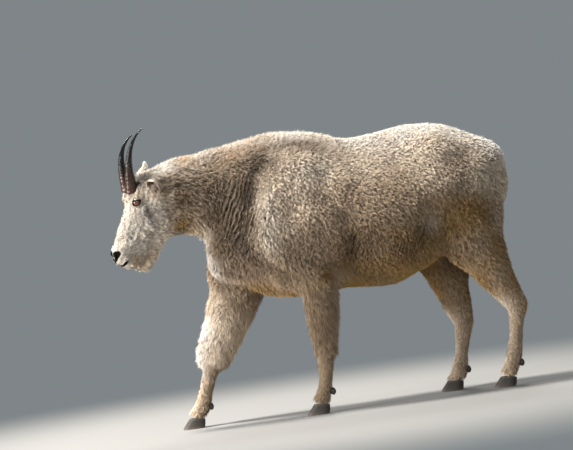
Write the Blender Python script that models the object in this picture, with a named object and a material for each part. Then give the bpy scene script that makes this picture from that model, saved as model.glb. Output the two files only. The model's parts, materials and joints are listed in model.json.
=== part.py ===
# A mountain goat in its short autumn coat, walking down a gentle slope, as a still life-size model.
# Metres, +Z up, the goat faces -X and its left side is -Y. The origin is under the middle of its box.
import math

import bmesh
import bpy
import numpy as np
from mathutils import Matrix, Vector

# Driving sizes. Places are given in the side view (x, z) with the back level, as (forward is -x, up).
SLOPE = math.radians(8.0)  # the ground falls this much towards the head when the back is level
SLOPE_PIVOT = 0.049  # x where that ground line crosses z = 0
GAP = 0.0003  # between neighbouring pieces
EAR_GAP = 0.0006  # round the roots of the ears, whose edges are sharp
VOXEL = 0.0075  # grid of the joined body
SMOOTHING_ROUNDS = 13
TORSO_ROUNDS = 42  # more rounds where muscles blend under the coat
BODY_TRIANGLES = 3100
RING_POINTS = 24  # points round a loft
ROWS_BETWEEN = 3  # rings added between two given sections

HEAD_POLL = (-0.529, -0.070, 0.8295)  # top of the head between the ears, before the head is turned
HEAD_PITCH = math.radians(76.0)  # how far the face points down
HEAD_TURN = math.radians(16.0)  # nose towards the goat's left
HEAD_LEAN = math.radians(7.0)  # crown towards the goat's left

EYE_PLACE = (0.080, -0.001, 0.048)  # along the face, above its line, to the side
EYE_RADIUS = 0.0155
HORN_BASE = (0.047, 0.0235)  # along the face, to the side
HORN_RADIUS = 0.0215
HORN_TAPER = 1.2  # how much sooner than evenly a horn thins
EAR_LENGTH = 0.105
EAR_WIDTH = 0.050
HOOF_SIZE = (0.074, 0.030, 0.036)  # length, width of one claw, height

COLOURS = {
    "coat": (0.70, 0.62, 0.52, 0.9),
    "face": (0.80, 0.76, 0.70, 0.9),
    "horn": (0.035, 0.026, 0.022, 0.35),
    "hoof": (0.06, 0.05, 0.045, 0.5),
    "eye": (0.05, 0.022, 0.010, 0.08),
}


def clear_scene():
    for thing in list(bpy.data.objects):
        bpy.data.objects.remove(thing)


def finish(name):
    """The material of one finish, made once."""
    material = bpy.data.materials.get(name)
    if material is None:
        red, green, blue, roughness = COLOURS[name]
        material = bpy.data.materials.new(name)
        material.use_nodes = True
        shader = material.node_tree.nodes["Principled BSDF"]
        shader.inputs["Base Color"].default_value = (red, green, blue, 1.0)
        shader.inputs["Roughness"].default_value = roughness
        shader.inputs["Metallic"].default_value = 0.0
    return material


def new_object(name, shape, finish_name=None):
    """A linked object from a bmesh, shaded smooth. A helper has no finish and isn't shown."""
    mesh = bpy.data.meshes.new(name)
    bmesh.ops.triangulate(shape, faces=shape.faces)
    bmesh.ops.recalc_face_normals(shape, faces=shape.faces)
    shape.to_mesh(mesh)
    shape.free()
    thing = bpy.data.objects.new(name, mesh)
    bpy.context.scene.collection.objects.link(thing)
    if finish_name:
        mesh.materials.append(finish(finish_name))
        mesh.shade_smooth()
    else:
        thing.hide_render = True
        thing.display_type = "WIRE"
    return thing


def settle(point):
    """Turns a place of the level-backed side view so that the ground line becomes level."""
    x, y, z = point
    across = x - SLOPE_PIVOT
    return Vector((
        SLOPE_PIVOT + across * math.cos(SLOPE) + z * math.sin(SLOPE),
        y,
        z * math.cos(SLOPE) - across * math.sin(SLOPE),
    ))


def eased(rows, between=ROWS_BETWEEN):
    """Rows of numbers with smooth in-between rows, by a Catmull-Rom curve through the given ones."""
    rows = [np.array(row, float) for row in rows]
    out = []
    for i in range(len(rows) - 1):
        before = rows[max(i - 1, 0)]
        here, there = rows[i], rows[i + 1]
        after = rows[min(i + 2, len(rows) - 1)]
        for step in range(between + 1):
            t = step / (between + 1)
            out.append(0.5 * (
                2 * here
                + (there - before) * t
                + (2 * before - 5 * here + 4 * there - after) * t**2
                + (3 * here - before - 3 * there + after) * t**3
            ))
    out.append(rows[-1])
    return out


def ring(middle, up, side, half_height, half_width, fullness, point_top, point_low, count):
    """One closed section. fullness moves the widest level up or down; the points narrow top or bottom."""
    points = []
    for i in range(count):
        angle = 2 * math.pi * i / count
        across, rise = math.cos(angle), math.sin(angle)
        narrow = point_top * max(rise, 0.0) ** 2 + point_low * max(-rise, 0.0) ** 2
        level = rise + fullness * (1 - rise * rise)
        points.append(middle + up * (half_height * level) + side * (half_width * across * (1 - narrow)))
    return points


def skin_rings(shape, rings):
    """Bridges neighbouring rings with faces and closes both ends."""
    loops = [[shape.verts.new(point) for point in points] for points in rings]
    count = len(loops[0])
    for first, second in zip(loops, loops[1:]):
        for i in range(count):
            j = (i + 1) % count
            shape.faces.new((first[i], first[j], second[j], second[i]))
    for loop in (loops[0], loops[-1]):
        middle = shape.verts.new(sum((v.co for v in loop), Vector()) / count)
        for i in range(count):
            shape.faces.new((loop[i], loop[(i + 1) % count], middle))


def side_loft(name, sections, place=settle, between=ROWS_BETWEEN, count=RING_POINTS):
    """A body length from side-view sections: x and z of the top, x and z of the bottom, half width,
    sideways offset, fullness, and how far the top and the bottom narrow."""
    shape = bmesh.new()
    rings = []
    for row in eased(sections, between):
        top_x, top_z, low_x, low_z, half_width, y, fullness, point_top, point_low = row
        top, low = place((top_x, y, top_z)), place((low_x, y, low_z))
        middle, up = (top + low) / 2, (top - low)
        side = place((top_x, y + 1.0, top_z)) - place((top_x, y, top_z))
        rings.append(ring(middle, up.normalized(), side.normalized(), up.length / 2, half_width,
                          fullness, point_top, point_low, count))
    skin_rings(shape, rings)
    return new_object(name, shape)


def mass(name, centre, radii, lean=0.0, turn=0.0, place=settle):
    """A muscle or bony swelling: an ellipsoid, leaned in the side view and turned in the plan."""
    shape = bmesh.new()
    bmesh.ops.create_uvsphere(shape, u_segments=24, v_segments=16, radius=1.0)
    pose = Matrix.Rotation(math.radians(turn), 3, "Z") @ Matrix.Rotation(math.radians(lean), 3, "Y")
    for v in shape.verts:
        v.co = place(Vector(centre) + pose @ Vector(c * r for c, r in zip(v.co, radii)))
    return new_object(name, shape)


# Sections of the trunk from the breast to the tail: (top x, top z, bottom x, bottom z, half width,
# offset, fullness, narrowing of the top, narrowing of the bottom).
TRUNK = [
    (-0.280, 0.700, -0.283, 0.550, 0.045, 0.010, 0.0, 0.10, 0.10),
    (-0.264, 0.800, -0.272, 0.505, 0.078, 0.006, 0.0, 0.15, 0.10),
    (-0.232, 0.885, -0.240, 0.475, 0.108, 0.0, -0.05, 0.25, 0.10),
    (-0.165, 0.958, -0.160, 0.455, 0.134, 0.0, -0.05, 0.45, 0.12),
    (-0.085, 0.990, -0.080, 0.418, 0.158, 0.0, -0.05, 0.55, 0.20),
    (0.010, 1.003, 0.015, 0.412, 0.175, 0.0, -0.08, 0.58, 0.22),
    (0.100, 0.995, 0.110, 0.425, 0.188, 0.0, -0.12, 0.50, 0.18),
    (0.190, 0.974, 0.200, 0.446, 0.197, 0.0, -0.15, 0.38, 0.12),
    (0.270, 0.981, 0.290, 0.447, 0.202, 0.0, -0.15, 0.32, 0.10),
    (0.360, 1.008, 0.385, 0.460, 0.199, 0.0, -0.12, 0.32, 0.10),
    (0.450, 1.024, 0.460, 0.500, 0.188, 0.0, -0.05, 0.34, 0.12),
    (0.530, 1.024, 0.530, 0.545, 0.174, 0.0, 0.05, 0.34, 0.14),
    (0.605, 1.004, 0.600, 0.580, 0.158, 0.0, 0.12, 0.30, 0.16),
    (0.672, 0.978, 0.660, 0.620, 0.138, 0.0, 0.15, 0.25, 0.18),
    (0.722, 0.960, 0.712, 0.665, 0.114, 0.0, 0.12, 0.20, 0.16),
    (0.756, 0.935, 0.748, 0.700, 0.084, 0.0, 0.05, 0.10, 0.10),
    (0.774, 0.897, 0.772, 0.745, 0.046, 0.0, 0.05, 0.10, 0.10),
]
# The neck from inside the chest to the back of the skull.
NECK = [
    (-0.020, 0.985, -0.140, 0.520, 0.140, 0.000, 0.0, 0.30, 0.05),
    (-0.095, 0.982, -0.225, 0.570, 0.132, -0.002, -0.05, 0.42, 0.05),
    (-0.165, 0.967, -0.270, 0.602, 0.116, -0.008, -0.08, 0.50, 0.08),
    (-0.235, 0.949, -0.305, 0.620, 0.101, -0.018, -0.10, 0.50, 0.14),
    (-0.300, 0.931, -0.350, 0.629, 0.091, -0.031, -0.08, 0.45, 0.18),
    (-0.365, 0.914, -0.392, 0.626, 0.084, -0.044, -0.02, 0.40, 0.20),
    (-0.430, 0.894, -0.425, 0.618, 0.076, -0.056, 0.05, 0.35, 0.20),
    (-0.478, 0.874, -0.445, 0.632, 0.066, -0.064, 0.05, 0.30, 0.20),
    (-0.515, 0.850, -0.465, 0.660, 0.050, -0.070, 0.05, 0.20, 0.20),
]
# Muscles that show under the coat, each on both sides: centre (its y is mirrored), radii, lean.
SIDE_MASSES = {
    "blade": ((0.030, 0.080, 0.752), (0.158, 0.084, 0.190), 14),
    "shoulder": ((-0.080, 0.080, 0.670), (0.140, 0.086, 0.145), 0),
    "upper_arm": ((0.045, 0.086, 0.575), (0.155, 0.086, 0.145), 0),
    "flank": ((0.360, 0.085, 0.640), (0.200, 0.115, 0.150), 6),
    "hip": ((0.520, 0.070, 0.890), (0.150, 0.078, 0.095), 8),
    "croup": ((0.590, 0.085, 0.800), (0.150, 0.084, 0.140), 0),
    "buttock": ((0.668, 0.086, 0.700), (0.092, 0.070, 0.185), 0),
}
# The legs: joints in the side view, the side, and how thick the coat makes the upper leg.
LEGS = {
    "leg_front_left": dict(
        side=-1, offset=(0.112, 0.108, 0.100, 0.096, 0.094), coat=1.00,
        joints=((0.060, 0.560), (0.108, 0.430), (0.128, 0.232), (0.126, 0.095), (0.112, 0.046))),
    "leg_front_right": dict(
        side=1, offset=(0.105, 0.106, 0.104, 0.100, 0.098), coat=1.38,
        joints=((-0.162, 0.560), (-0.169, 0.410), (-0.250, 0.186), (-0.282, 0.034), (-0.306, -0.013))),
    "leg_hind_left": dict(
        side=-1, offset=(0.098, 0.112, 0.100, 0.096, 0.096), coat=1.00,
        joints=((0.612, 0.735), (0.650, 0.595), (0.803, 0.381), (0.790, 0.192), (0.768, 0.140))),
    "leg_hind_right": dict(
        side=1, offset=(0.098, 0.112, 0.106, 0.102, 0.100), coat=1.00,
        joints=((0.590, 0.720), (0.556, 0.556), (0.644, 0.318), (0.632, 0.160), (0.612, 0.108))),
}
# Half thickness along a leg: (place between joints, fore and aft, sideways). 1.5 is midway from
# the second joint to the third.
FORE_THICKNESS = [
    (-0.7, 0.040, 0.035), (0.0, 0.074, 0.055), (0.6, 0.078, 0.060), (1.0, 0.068, 0.058), (1.4, 0.059, 0.052),
    (1.75, 0.050, 0.044), (2.0, 0.043, 0.039), (2.22, 0.033, 0.031), (2.5, 0.026, 0.025),
    (2.8, 0.026, 0.026), (3.0, 0.030, 0.030), (3.5, 0.028, 0.029), (4.0, 0.036, 0.035),
]
HIND_THICKNESS = [
    (-0.5, 0.070, 0.045), (0.0, 0.112, 0.068), (0.5, 0.118, 0.074), (1.0, 0.110, 0.068), (1.3, 0.079, 0.056),
    (1.6, 0.059, 0.044), (1.85, 0.045, 0.035), (2.0, 0.038, 0.031), (2.2, 0.031, 0.029),
    (2.5, 0.026, 0.025), (2.8, 0.026, 0.026), (3.0, 0.030, 0.030), (3.5, 0.028, 0.029),
    (4.0, 0.036, 0.035),
]
COAT_ENDS = 2.1  # the long coat of a leg stops just below its wrist or hock


def leg_path(leg, at):
    """The place and the way down of a leg, at this many joints along it."""
    i = min(int(at), len(leg["joints"]) - 2)
    t = at - i
    (x0, z0), (x1, z1) = leg["joints"][i], leg["joints"][i + 1]
    y0, y1 = leg["offset"][i], leg["offset"][i + 1]
    place = Vector((x0 + (x1 - x0) * t, leg["side"] * (y0 + (y1 - y0) * t), z0 + (z1 - z0) * t))
    return place, Vector((x1 - x0, 0.0, z1 - z0)).normalized()


def leg_loft(name, leg, thickness):
    """A leg from inside the body to the top of its hoof."""
    sections = []
    for at, fore_aft, sideways in thickness:
        place, down = leg_path(leg, at)
        before, down_before = leg_path(leg, max(at - 0.35, 0.0))
        down = (down + down_before).normalized()
        wide = leg["coat"] if at < COAT_ENDS else 1.0
        back = Vector((-down.z, 0.0, down.x)) * fore_aft * wide
        front_point, back_point = place - back, place + back
        sections.append((front_point.x, front_point.z, back_point.x, back_point.z,
                         sideways * (1 + 0.5 * (wide - 1)), place.y, 0.0, 0.0, 0.0))
    return side_loft(name, sections)


def head_turn():
    """The matrix from the head's own axes (along the face, above it, to its side) to the model."""
    along = Vector((-math.cos(HEAD_PITCH), 0.0, -math.sin(HEAD_PITCH)))
    above = Vector((-math.sin(HEAD_PITCH), 0.0, math.cos(HEAD_PITCH)))
    lean = Matrix.Rotation(HEAD_LEAN, 3, "X") @ Matrix.Rotation(HEAD_TURN, 3, "Z")
    columns = [lean @ along, lean @ above, lean @ Vector((0.0, 1.0, 0.0))]
    return Matrix(columns).transposed()


def head_place(point):
    """A place given as (along the face, above its line, to the goat's right) in the model."""
    return settle(Vector(HEAD_POLL) + head_turn() @ Vector(point))


# The skull and jaw from poll to lips: (top along, top above, bottom along, bottom above, half width,
# 0, fullness, narrowing of the top, narrowing of the bottom).
HEAD = [
    (-0.022, -0.030, -0.010, -0.125, 0.040, 0.0, 0.0, 0.10, 0.10),
    (-0.004, 0.012, 0.012, -0.145, 0.054, 0.0, 0.10, 0.10, 0.15),
    (0.030, 0.036, 0.045, -0.152, 0.058, 0.0, 0.20, 0.10, 0.20),
    (0.062, 0.035, 0.085, -0.144, 0.058, 0.0, 0.25, 0.12, 0.20),
    (0.092, 0.019, 0.120, -0.132, 0.055, 0.0, 0.25, 0.18, 0.20),
    (0.122, 0.019, 0.155, -0.121, 0.048, 0.0, 0.20, 0.22, 0.20),
    (0.158, 0.026, 0.188, -0.110, 0.041, 0.0, 0.12, 0.24, 0.18),
    (0.196, 0.029, 0.222, -0.098, 0.036, 0.0, 0.05, 0.24, 0.15),
    (0.232, 0.030, 0.252, -0.086, 0.0335, 0.0, 0.05, 0.22, 0.12),
    (0.264, 0.033, 0.280, -0.076, 0.0330, 0.0, 0.05, 0.22, 0.15),
    (0.290, 0.026, 0.302, -0.064, 0.0290, 0.0, 0.05, 0.20, 0.20),
    (0.307, 0.006, 0.314, -0.046, 0.0200, 0.0, 0.0, 0.10, 0.20),
]
# Swellings of the head: centre as for head_place, radii, and whether it is on both sides.
HEAD_MASSES = {
    "brow": ((0.066, 0.007, 0.045), (0.027, 0.016, 0.018), True),
    "cheekbone": ((0.104, -0.022, 0.043), (0.038, 0.017, 0.015), True),
    "cheek": ((0.108, -0.078, 0.036), (0.062, 0.050, 0.026), True),
    "nostril_wing": ((0.277, 0.009, 0.022), (0.023, 0.019, 0.014), True),
    "upper_lip": ((0.285, -0.016, 0.018), (0.023, 0.026, 0.021), True),
    "forelock": ((0.022, 0.026, 0.0), (0.042, 0.022, 0.044), False),
    "chin": ((0.294, -0.058, 0.0), (0.022, 0.022, 0.023), False),
    "beard": ((0.284, -0.102, 0.0), (0.036, 0.040, 0.024), False),
    "jaw_fringe": ((0.235, -0.115, 0.0), (0.052, 0.036, 0.027), False),
    "throat": ((0.185, -0.125, 0.0), (0.056, 0.036, 0.036), False),
}


def head_masses():
    made = []
    for name, (centre, radii, paired) in HEAD_MASSES.items():
        for side in (-1, 1) if paired else (1,):
            made.append(mass(f"guide_{name}_{side}", (centre[0], centre[1], centre[2] * side),
                             radii, place=head_place))
    return made


def evaluated_copy(thing, name, finish_name=None):
    """A plain object from this one's evaluated mesh."""
    bpy.context.view_layer.update()
    graph = bpy.context.evaluated_depsgraph_get()
    mesh = bpy.data.meshes.new_from_object(thing.evaluated_get(graph))
    copy = bpy.data.objects.new(name, mesh)
    bpy.context.scene.collection.objects.link(copy)
    mesh.materials.clear()
    if finish_name:
        mesh.materials.append(finish(finish_name))
        mesh.shade_smooth()
    else:
        copy.hide_render = True
        copy.display_type = "WIRE"
    return copy


def torso_share(place):
    """1 on the neck and torso, falling to 0 on the head and down the legs."""
    above_legs = min(max((place.z - 0.44) / 0.12, 0.0), 1.0)
    behind_head = min(max((place.x + 0.44) / 0.08, 0.0), 1.0)
    return above_legs * behind_head


def joined_body(pieces):
    """All the lofts and masses as one smooth closed surface."""
    shape = bmesh.new()
    for piece in pieces:
        shape.from_mesh(piece.data)
    whole = new_object("guide_whole", shape)
    for piece in pieces:
        bpy.data.objects.remove(piece)
    remesh = whole.modifiers.new("join", "REMESH")
    remesh.mode = "VOXEL"
    remesh.voxel_size = VOXEL
    ease = whole.modifiers.new("ease", "SMOOTH")
    ease.factor = 0.5
    ease.iterations = SMOOTHING_ROUNDS
    fine = evaluated_copy(whole, "guide_fine")
    bpy.data.objects.remove(whole)
    torso = fine.vertex_groups.new(name="torso")
    for v in fine.data.vertices:
        torso.add([v.index], torso_share(v.co), "REPLACE")
    blend = fine.modifiers.new("blend", "SMOOTH")
    blend.factor = 0.5
    blend.iterations = TORSO_ROUNDS
    blend.vertex_group = "torso"
    reduce = fine.modifiers.new("reduce", "DECIMATE")
    fine.data.calc_loop_triangles()
    reduce.ratio = BODY_TRIANGLES / len(fine.data.loop_triangles)
    reduce.use_collapse_triangulate = True
    body = evaluated_copy(fine, "guide_body")
    bpy.data.objects.remove(fine)
    return body


def cut(thing, cutter, operation, name, finish_name=None):
    """thing with a Boolean by cutter, as a new object. thing is removed."""
    change = thing.modifiers.new("cut", "BOOLEAN")
    change.operation = operation
    change.solver = "EXACT"
    change.object = cutter
    result = evaluated_copy(thing, "guide_result", finish_name)
    bpy.data.objects.remove(thing)
    result.name = name
    result.data.name = name
    return result


def grown(thing, by):
    """A copy of a closed piece with its surface moved out."""
    copy = evaluated_copy(thing, "guide_grown")
    puff = copy.modifiers.new("puff", "DISPLACE")
    puff.strength = by
    puff.mid_level = 0.0
    result = evaluated_copy(copy, "guide_puffed")
    bpy.data.objects.remove(copy)
    return result


def block(name, outline, y_low, y_high, y_low_top=None, y_high_top=None, margin=0.0):
    """A cutter from a side-view outline, between two sideways limits. The first half of the outline
    is its lower edge; the _top limits lean the block inwards or outwards above that."""
    middle = Vector((sum(p[0] for p in outline), 0, sum(p[1] for p in outline))) / len(outline)
    shape = bmesh.new()
    rings = []
    for low in (True, False):
        loop = []
        for i, (x, z) in enumerate(outline):
            upper = i >= len(outline) // 2
            if low:
                y = y_low_top if upper and y_low_top is not None else y_low
            else:
                y = y_high_top if upper and y_high_top is not None else y_high
            out = Vector((x, 0, z)) - middle
            out = out.normalized() * margin
            loop.append(shape.verts.new(settle((x + out.x, y + (-margin if low else margin), z + out.z))))
        rings.append(loop)
    count = len(outline)
    for i in range(count):
        j = (i + 1) % count
        shape.faces.new((rings[0][i], rings[0][j], rings[1][j], rings[1][i]))
    shape.faces.new(rings[0])
    shape.faces.new(list(reversed(rings[1])))
    return new_object(name, shape)


FAR = 0.6  # past the body on any side


def level_block(name, top):
    """A cutter that fills everything below this height."""
    shape = bmesh.new()
    bmesh.ops.create_cube(shape, size=1.0)
    for v in shape.verts:
        v.co = (v.co.x * 4 * FAR, v.co.y * 2 * FAR, top + (v.co.z - 0.5) * FAR)
    return new_object(name, shape)


# Where each part is divided from the trunk: side-view outline, lower edge first, and its limits.
DIVISIONS = {
    "head": dict(outline=[(-0.9, 0.30), (-0.350, 0.30), (-0.400, 0.640), (-0.458, 0.900),
                          (-0.458, 1.2), (-0.9, 1.2)], low=-FAR, high=FAR),
    "neck": dict(outline=[(-0.9, 0.30), (-0.290, 0.612), (-0.150, 0.985), (-0.150, 1.2),
                          (-0.9, 1.2)], low=-FAR, high=FAR),
    "leg_front_left": dict(outline=[(0.245, -0.1), (-0.005, -0.1), (-0.020, 0.470), (0.235, 0.500)],
                           low=-FAR, high=-0.004, low_top=-FAR, high_top=-0.060),
    "leg_front_right": dict(outline=[(-0.020, -0.2), (-0.50, -0.2), (-0.50, 0.560), (-0.055, 0.480)],
                            low=0.004, high=FAR, low_top=0.060, high_top=FAR),
    "leg_hind_left": dict(outline=[(0.95, -0.1), (0.45, -0.1), (0.505, 0.560), (0.610, 0.800),
                                   (0.95, 0.800)], low=-FAR, high=-0.012, low_top=-FAR, high_top=-0.060),
    "leg_hind_right": dict(outline=[(0.95, -0.1), (0.40, -0.1), (0.462, 0.550), (0.590, 0.790),
                                    (0.95, 0.790)], low=0.012, high=FAR, low_top=0.060, high_top=FAR),
}


def divide_body(body):
    """Parts the whole body into named pieces, GAP apart."""
    parts = {}
    rest = body
    for name, d in DIVISIONS.items():
        limits = (d["low"], d["high"], d.get("low_top"), d.get("high_top"))
        inner = block("guide_inner", d["outline"], *limits)
        outer = block("guide_outer", d["outline"], *limits, margin=GAP * 2)
        piece_source = evaluated_copy(rest, "guide_source")
        parts[name] = cut(piece_source, inner, "INTERSECT", name, "face" if name == "head" else "coat")
        rest = cut(rest, outer, "DIFFERENCE", "guide_rest")
        bpy.data.objects.remove(inner)
        bpy.data.objects.remove(outer)
    parts["trunk"] = evaluated_copy(rest, "trunk", "coat")
    bpy.data.objects.remove(rest)
    return parts


# Each horn: its length along the curve, how far its root is above the face line, how far it first
# leans forward of the face line, how far it bends back by the tip, how late the bend comes, and how
# far it spreads at the root and further by the tip. The two differ a little, as in life.
HORNS = {
    -1: dict(length=0.234, above=0.016, lean=26.0, bend=60.0, late=2.2, spread=(6.0, 3.0)),
    1: dict(length=0.204, above=0.014, lean=32.0, bend=76.0, late=2.0, spread=(5.0, 2.0)),
}
HORN_STEPS = 18
HORN_ROUND = 12


def horn(side):
    """A slim black horn that sweeps back, a little flattened sideways."""
    h = HORNS[side]
    shape = bmesh.new()
    place = Vector((HORN_BASE[0], h["above"], HORN_BASE[1]))
    loops = []
    for i in range(HORN_STEPS + 1):
        u = i / HORN_STEPS
        heading = math.radians(h["lean"] - h["bend"] * u ** h["late"])
        spread = math.radians(h["spread"][0] + h["spread"][1] * u)
        way = Vector((-math.cos(heading), math.sin(heading), math.tan(spread))).normalized()
        radius = HORN_RADIUS * (1 - u) ** HORN_TAPER + 0.0012
        side_way = way.cross(Vector((0, 1, 0))).normalized()
        up_way = side_way.cross(way).normalized()
        loop = []
        for k in range(HORN_ROUND):
            angle = 2 * math.pi * k / HORN_ROUND
            point = (place + up_way * (math.sin(angle) * radius)
                     + side_way * (math.cos(angle) * radius * 0.88))
            loop.append(shape.verts.new(head_place((point.x, point.y, point.z * side))))
        loops.append(loop)
        place = place + way * (h["length"] / HORN_STEPS)
    for first, second in zip(loops, loops[1:]):
        for k in range(HORN_ROUND):
            m = (k + 1) % HORN_ROUND
            shape.faces.new((first[k], first[m], second[m], second[k]))
    shape.faces.new(loops[0])
    shape.faces.new(list(reversed(loops[-1])))
    return new_object("horn_left" if side < 0 else "horn_right", shape, "horn")


# Which way each ear points and opens, in the model's level-backed frame.
EARS = {
    -1: dict(base=(0.030, -0.055, 0.044), way=(-0.05, -0.93, 0.34), opening=(-0.18, -0.34, -0.92)),
    1: dict(base=(0.005, -0.020, 0.046), way=(0.35, 0.78, 0.57), opening=(-0.85, 0.20, 0.26)),
}


def ear(side):
    """A pointed ear: a rounded leaf that folds forward along its length, with a hollow front."""
    e = EARS[side]
    along = Vector(e["way"]).normalized()
    front = Vector(e["opening"])
    front = (front - along * front.dot(along)).normalized()
    across = along.cross(front)
    start = Vector(HEAD_POLL) + head_turn() @ Vector((e["base"][0], e["base"][1], e["base"][2] * side))
    steps, round_points = 9, 12
    shape = bmesh.new()
    loops = []
    for i in range(steps + 1):
        u = i / steps
        width = EAR_WIDTH / 2 * (0.62 + 0.55 * math.sin(math.pi * min(u * 1.25, 1.0) * 0.62)) \
            * (1 - u**3.2) ** 0.75 + 0.002
        thick = 0.0115 * (1 - u) + 0.0045
        hollow = 0.010 * math.sin(math.pi * min(u * 1.1, 1.0)) ** 0.6 if u > 0.12 else 0.0
        centre = start + along * (EAR_LENGTH * u) - front * (0.012 * math.sin(math.pi * u))
        loop = []
        for k in range(round_points):
            angle = 2 * math.pi * k / round_points
            a, f = math.cos(angle), math.sin(angle)
            fold = 0.55 * width * a * a
            dip = hollow * (1 - a * a) * (1.0 if f > 0 else 0.75)
            loop.append(shape.verts.new(settle(
                centre + across * (a * width) + front * (f * thick + fold - dip))))
        loops.append(loop)
    for first, second in zip(loops, loops[1:]):
        for k in range(round_points):
            m = (k + 1) % round_points
            shape.faces.new((first[k], first[m], second[m], second[k]))
    shape.faces.new(loops[0])
    shape.faces.new(list(reversed(loops[-1])))
    return new_object("ear_left" if side < 0 else "ear_right", shape, "face")


def eye(side):
    shape = bmesh.new()
    bmesh.ops.create_uvsphere(shape, u_segments=14, v_segments=9, radius=EYE_RADIUS)
    centre = head_place((EYE_PLACE[0], EYE_PLACE[1], EYE_PLACE[2] * side))
    bmesh.ops.translate(shape, verts=shape.verts, vec=centre)
    return new_object("eye_left" if side < 0 else "eye_right", shape, "eye")


def tail():
    """The short tail, held down against the rump."""
    sections = [
        (0.748, 0.908, 0.718, 0.874, 0.022, 0.0, 0.0, 0.0, 0.0),
        (0.776, 0.862, 0.738, 0.836, 0.032, 0.0, 0.0, 0.0, 0.0),
        (0.784, 0.800, 0.748, 0.790, 0.030, 0.0, 0.0, 0.0, 0.0),
        (0.778, 0.754, 0.756, 0.750, 0.016, 0.0, 0.0, 0.0, 0.0),
        (0.771, 0.738, 0.766, 0.737, 0.006, 0.0, 0.0, 0.0, 0.0),
    ]
    made = side_loft("tail", sections, between=1, count=12)
    made.hide_render = False
    made.display_type = "TEXTURED"
    made.data.materials.append(finish("coat"))
    made.data.shade_smooth()
    return made


def claw(leg_name, leg, inner):
    """One of a hoof's two claws, with a level sole on the ground and a slanted front."""
    length, width, height = HOOF_SIZE
    x, z = leg["joints"][-1]
    top = settle((x, leg["side"] * leg["offset"][-1], z))
    to_side = leg["side"] * (-1 if inner else 1)
    y_middle = top.y + to_side * (width / 2 + 0.0012)
    outline = [  # front half of the sole, from the heel: along, half width at the sole
        (0.42, 0.62), (0.30, 0.92), (0.0, 1.0), (-0.30, 0.90), (-0.50, 0.58), (-0.58, 0.16),
    ]
    around = outline + [(a, -w) for a, w in reversed(outline)]
    levels = [  # height, scale along, scale across, shift back
        (0.0, 1.0, 1.0, 0.0), (0.25, 0.95, 1.0, 0.004), (0.6, 0.84, 0.97, 0.010), (1.0, 0.70, 0.90, 0.016),
    ]
    shape = bmesh.new()
    loops = []
    for level, along_scale, across_scale, shift in levels:
        loops.append([
            shape.verts.new((
                top.x - 0.010 + a * length * along_scale + shift,
                y_middle + w * width / 2 * across_scale,
                level * (height - GAP),
            ))
            for a, w in around
        ])
    count = len(around)
    for first, second in zip(loops, loops[1:]):
        for k in range(count):
            m = (k + 1) % count
            shape.faces.new((first[k], first[m], second[m], second[k]))
    shape.faces.new(loops[0])
    shape.faces.new(list(reversed(loops[-1])))
    where = "inner" if inner else "outer"
    return new_object(leg_name.replace("leg", "hoof") + "_" + where, shape, "hoof")


def dew_claw(leg_name, leg, inner):
    """A small horny knob behind the fetlock."""
    place, down = leg_path(leg, 3.05)
    centre = settle(place + Vector((0.025, 0.0, -0.004)))
    to_side = leg["side"] * (-1 if inner else 1)
    shape = bmesh.new()
    bmesh.ops.create_uvsphere(shape, u_segments=8, v_segments=6, radius=1.0)
    for v in shape.verts:
        v.co = centre + Vector((v.co.x * 0.010, to_side * 0.013 + v.co.y * 0.007, v.co.z * 0.013))
    where = "inner" if inner else "outer"
    return new_object(leg_name.replace("leg", "dewclaw") + "_" + where, shape, "hoof")


def seat(host, guest, name, finish_name, gap=GAP):
    """Cuts room for guest, wider all round by the gap, out of host."""
    room = grown(guest, gap)
    result = cut(host, room, "DIFFERENCE", name, finish_name)
    bpy.data.objects.remove(room)
    return result


def centre_on_box(things):
    """Moves every mesh so that the middle of the box's underside is the origin."""
    corners = np.array([v.co[:] for thing in things for v in thing.data.vertices])
    low, high = corners.min(axis=0), corners.max(axis=0)
    shift = Matrix.Translation((-(low[0] + high[0]) / 2, -(low[1] + high[1]) / 2, -low[2]))
    for thing in things:
        thing.data.transform(shift)


def build():
    clear_scene()
    pieces = [side_loft("guide_trunk", TRUNK), side_loft("guide_neck", NECK)]
    head_sections = side_loft(
        "guide_head", HEAD, place=lambda p: head_place((p[0], p[2], p[1])))
    pieces += [head_sections] + head_masses()
    for name, (centre, radii, lean) in SIDE_MASSES.items():
        for side in (-1, 1):
            pieces.append(mass(f"guide_{name}_{side}", (centre[0], centre[1] * side, centre[2]), radii, lean))
    for name, leg in LEGS.items():
        pieces.append(leg_loft("guide_" + name, leg, HIND_THICKNESS if "hind" in name else FORE_THICKNESS))
    parts = divide_body(joined_body(pieces))
    parts["tail"] = tail()
    parts["trunk"] = seat(parts["trunk"], parts["tail"], "trunk", "coat")
    for side, word in ((-1, "left"), (1, "right")):
        for name, made in (("horn", horn(side)), ("eye", eye(side)), ("ear", ear(side))):
            parts[f"{name}_{word}"] = made
            parts["head"] = seat(parts["head"], made, "head", "face", EAR_GAP if name == "ear" else GAP)
    for name, leg in LEGS.items():
        sole = level_block("guide_sole", HOOF_SIZE[2])
        parts[name] = cut(parts[name], sole, "DIFFERENCE", name, "coat")
        bpy.data.objects.remove(sole)
        for inner in (True, False):
            made = claw(name, leg, inner)
            parts[made.name] = made
            made = dew_claw(name, leg, inner)
            parts[made.name] = made
            parts[name] = seat(parts[name], made, name, "coat")
    centre_on_box(list(parts.values()))


build()
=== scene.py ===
import json
import math

import bmesh
import bpy
import numpy as np
from mathutils import Matrix, Vector
from mathutils.bvhtree import BVHTree

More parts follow.
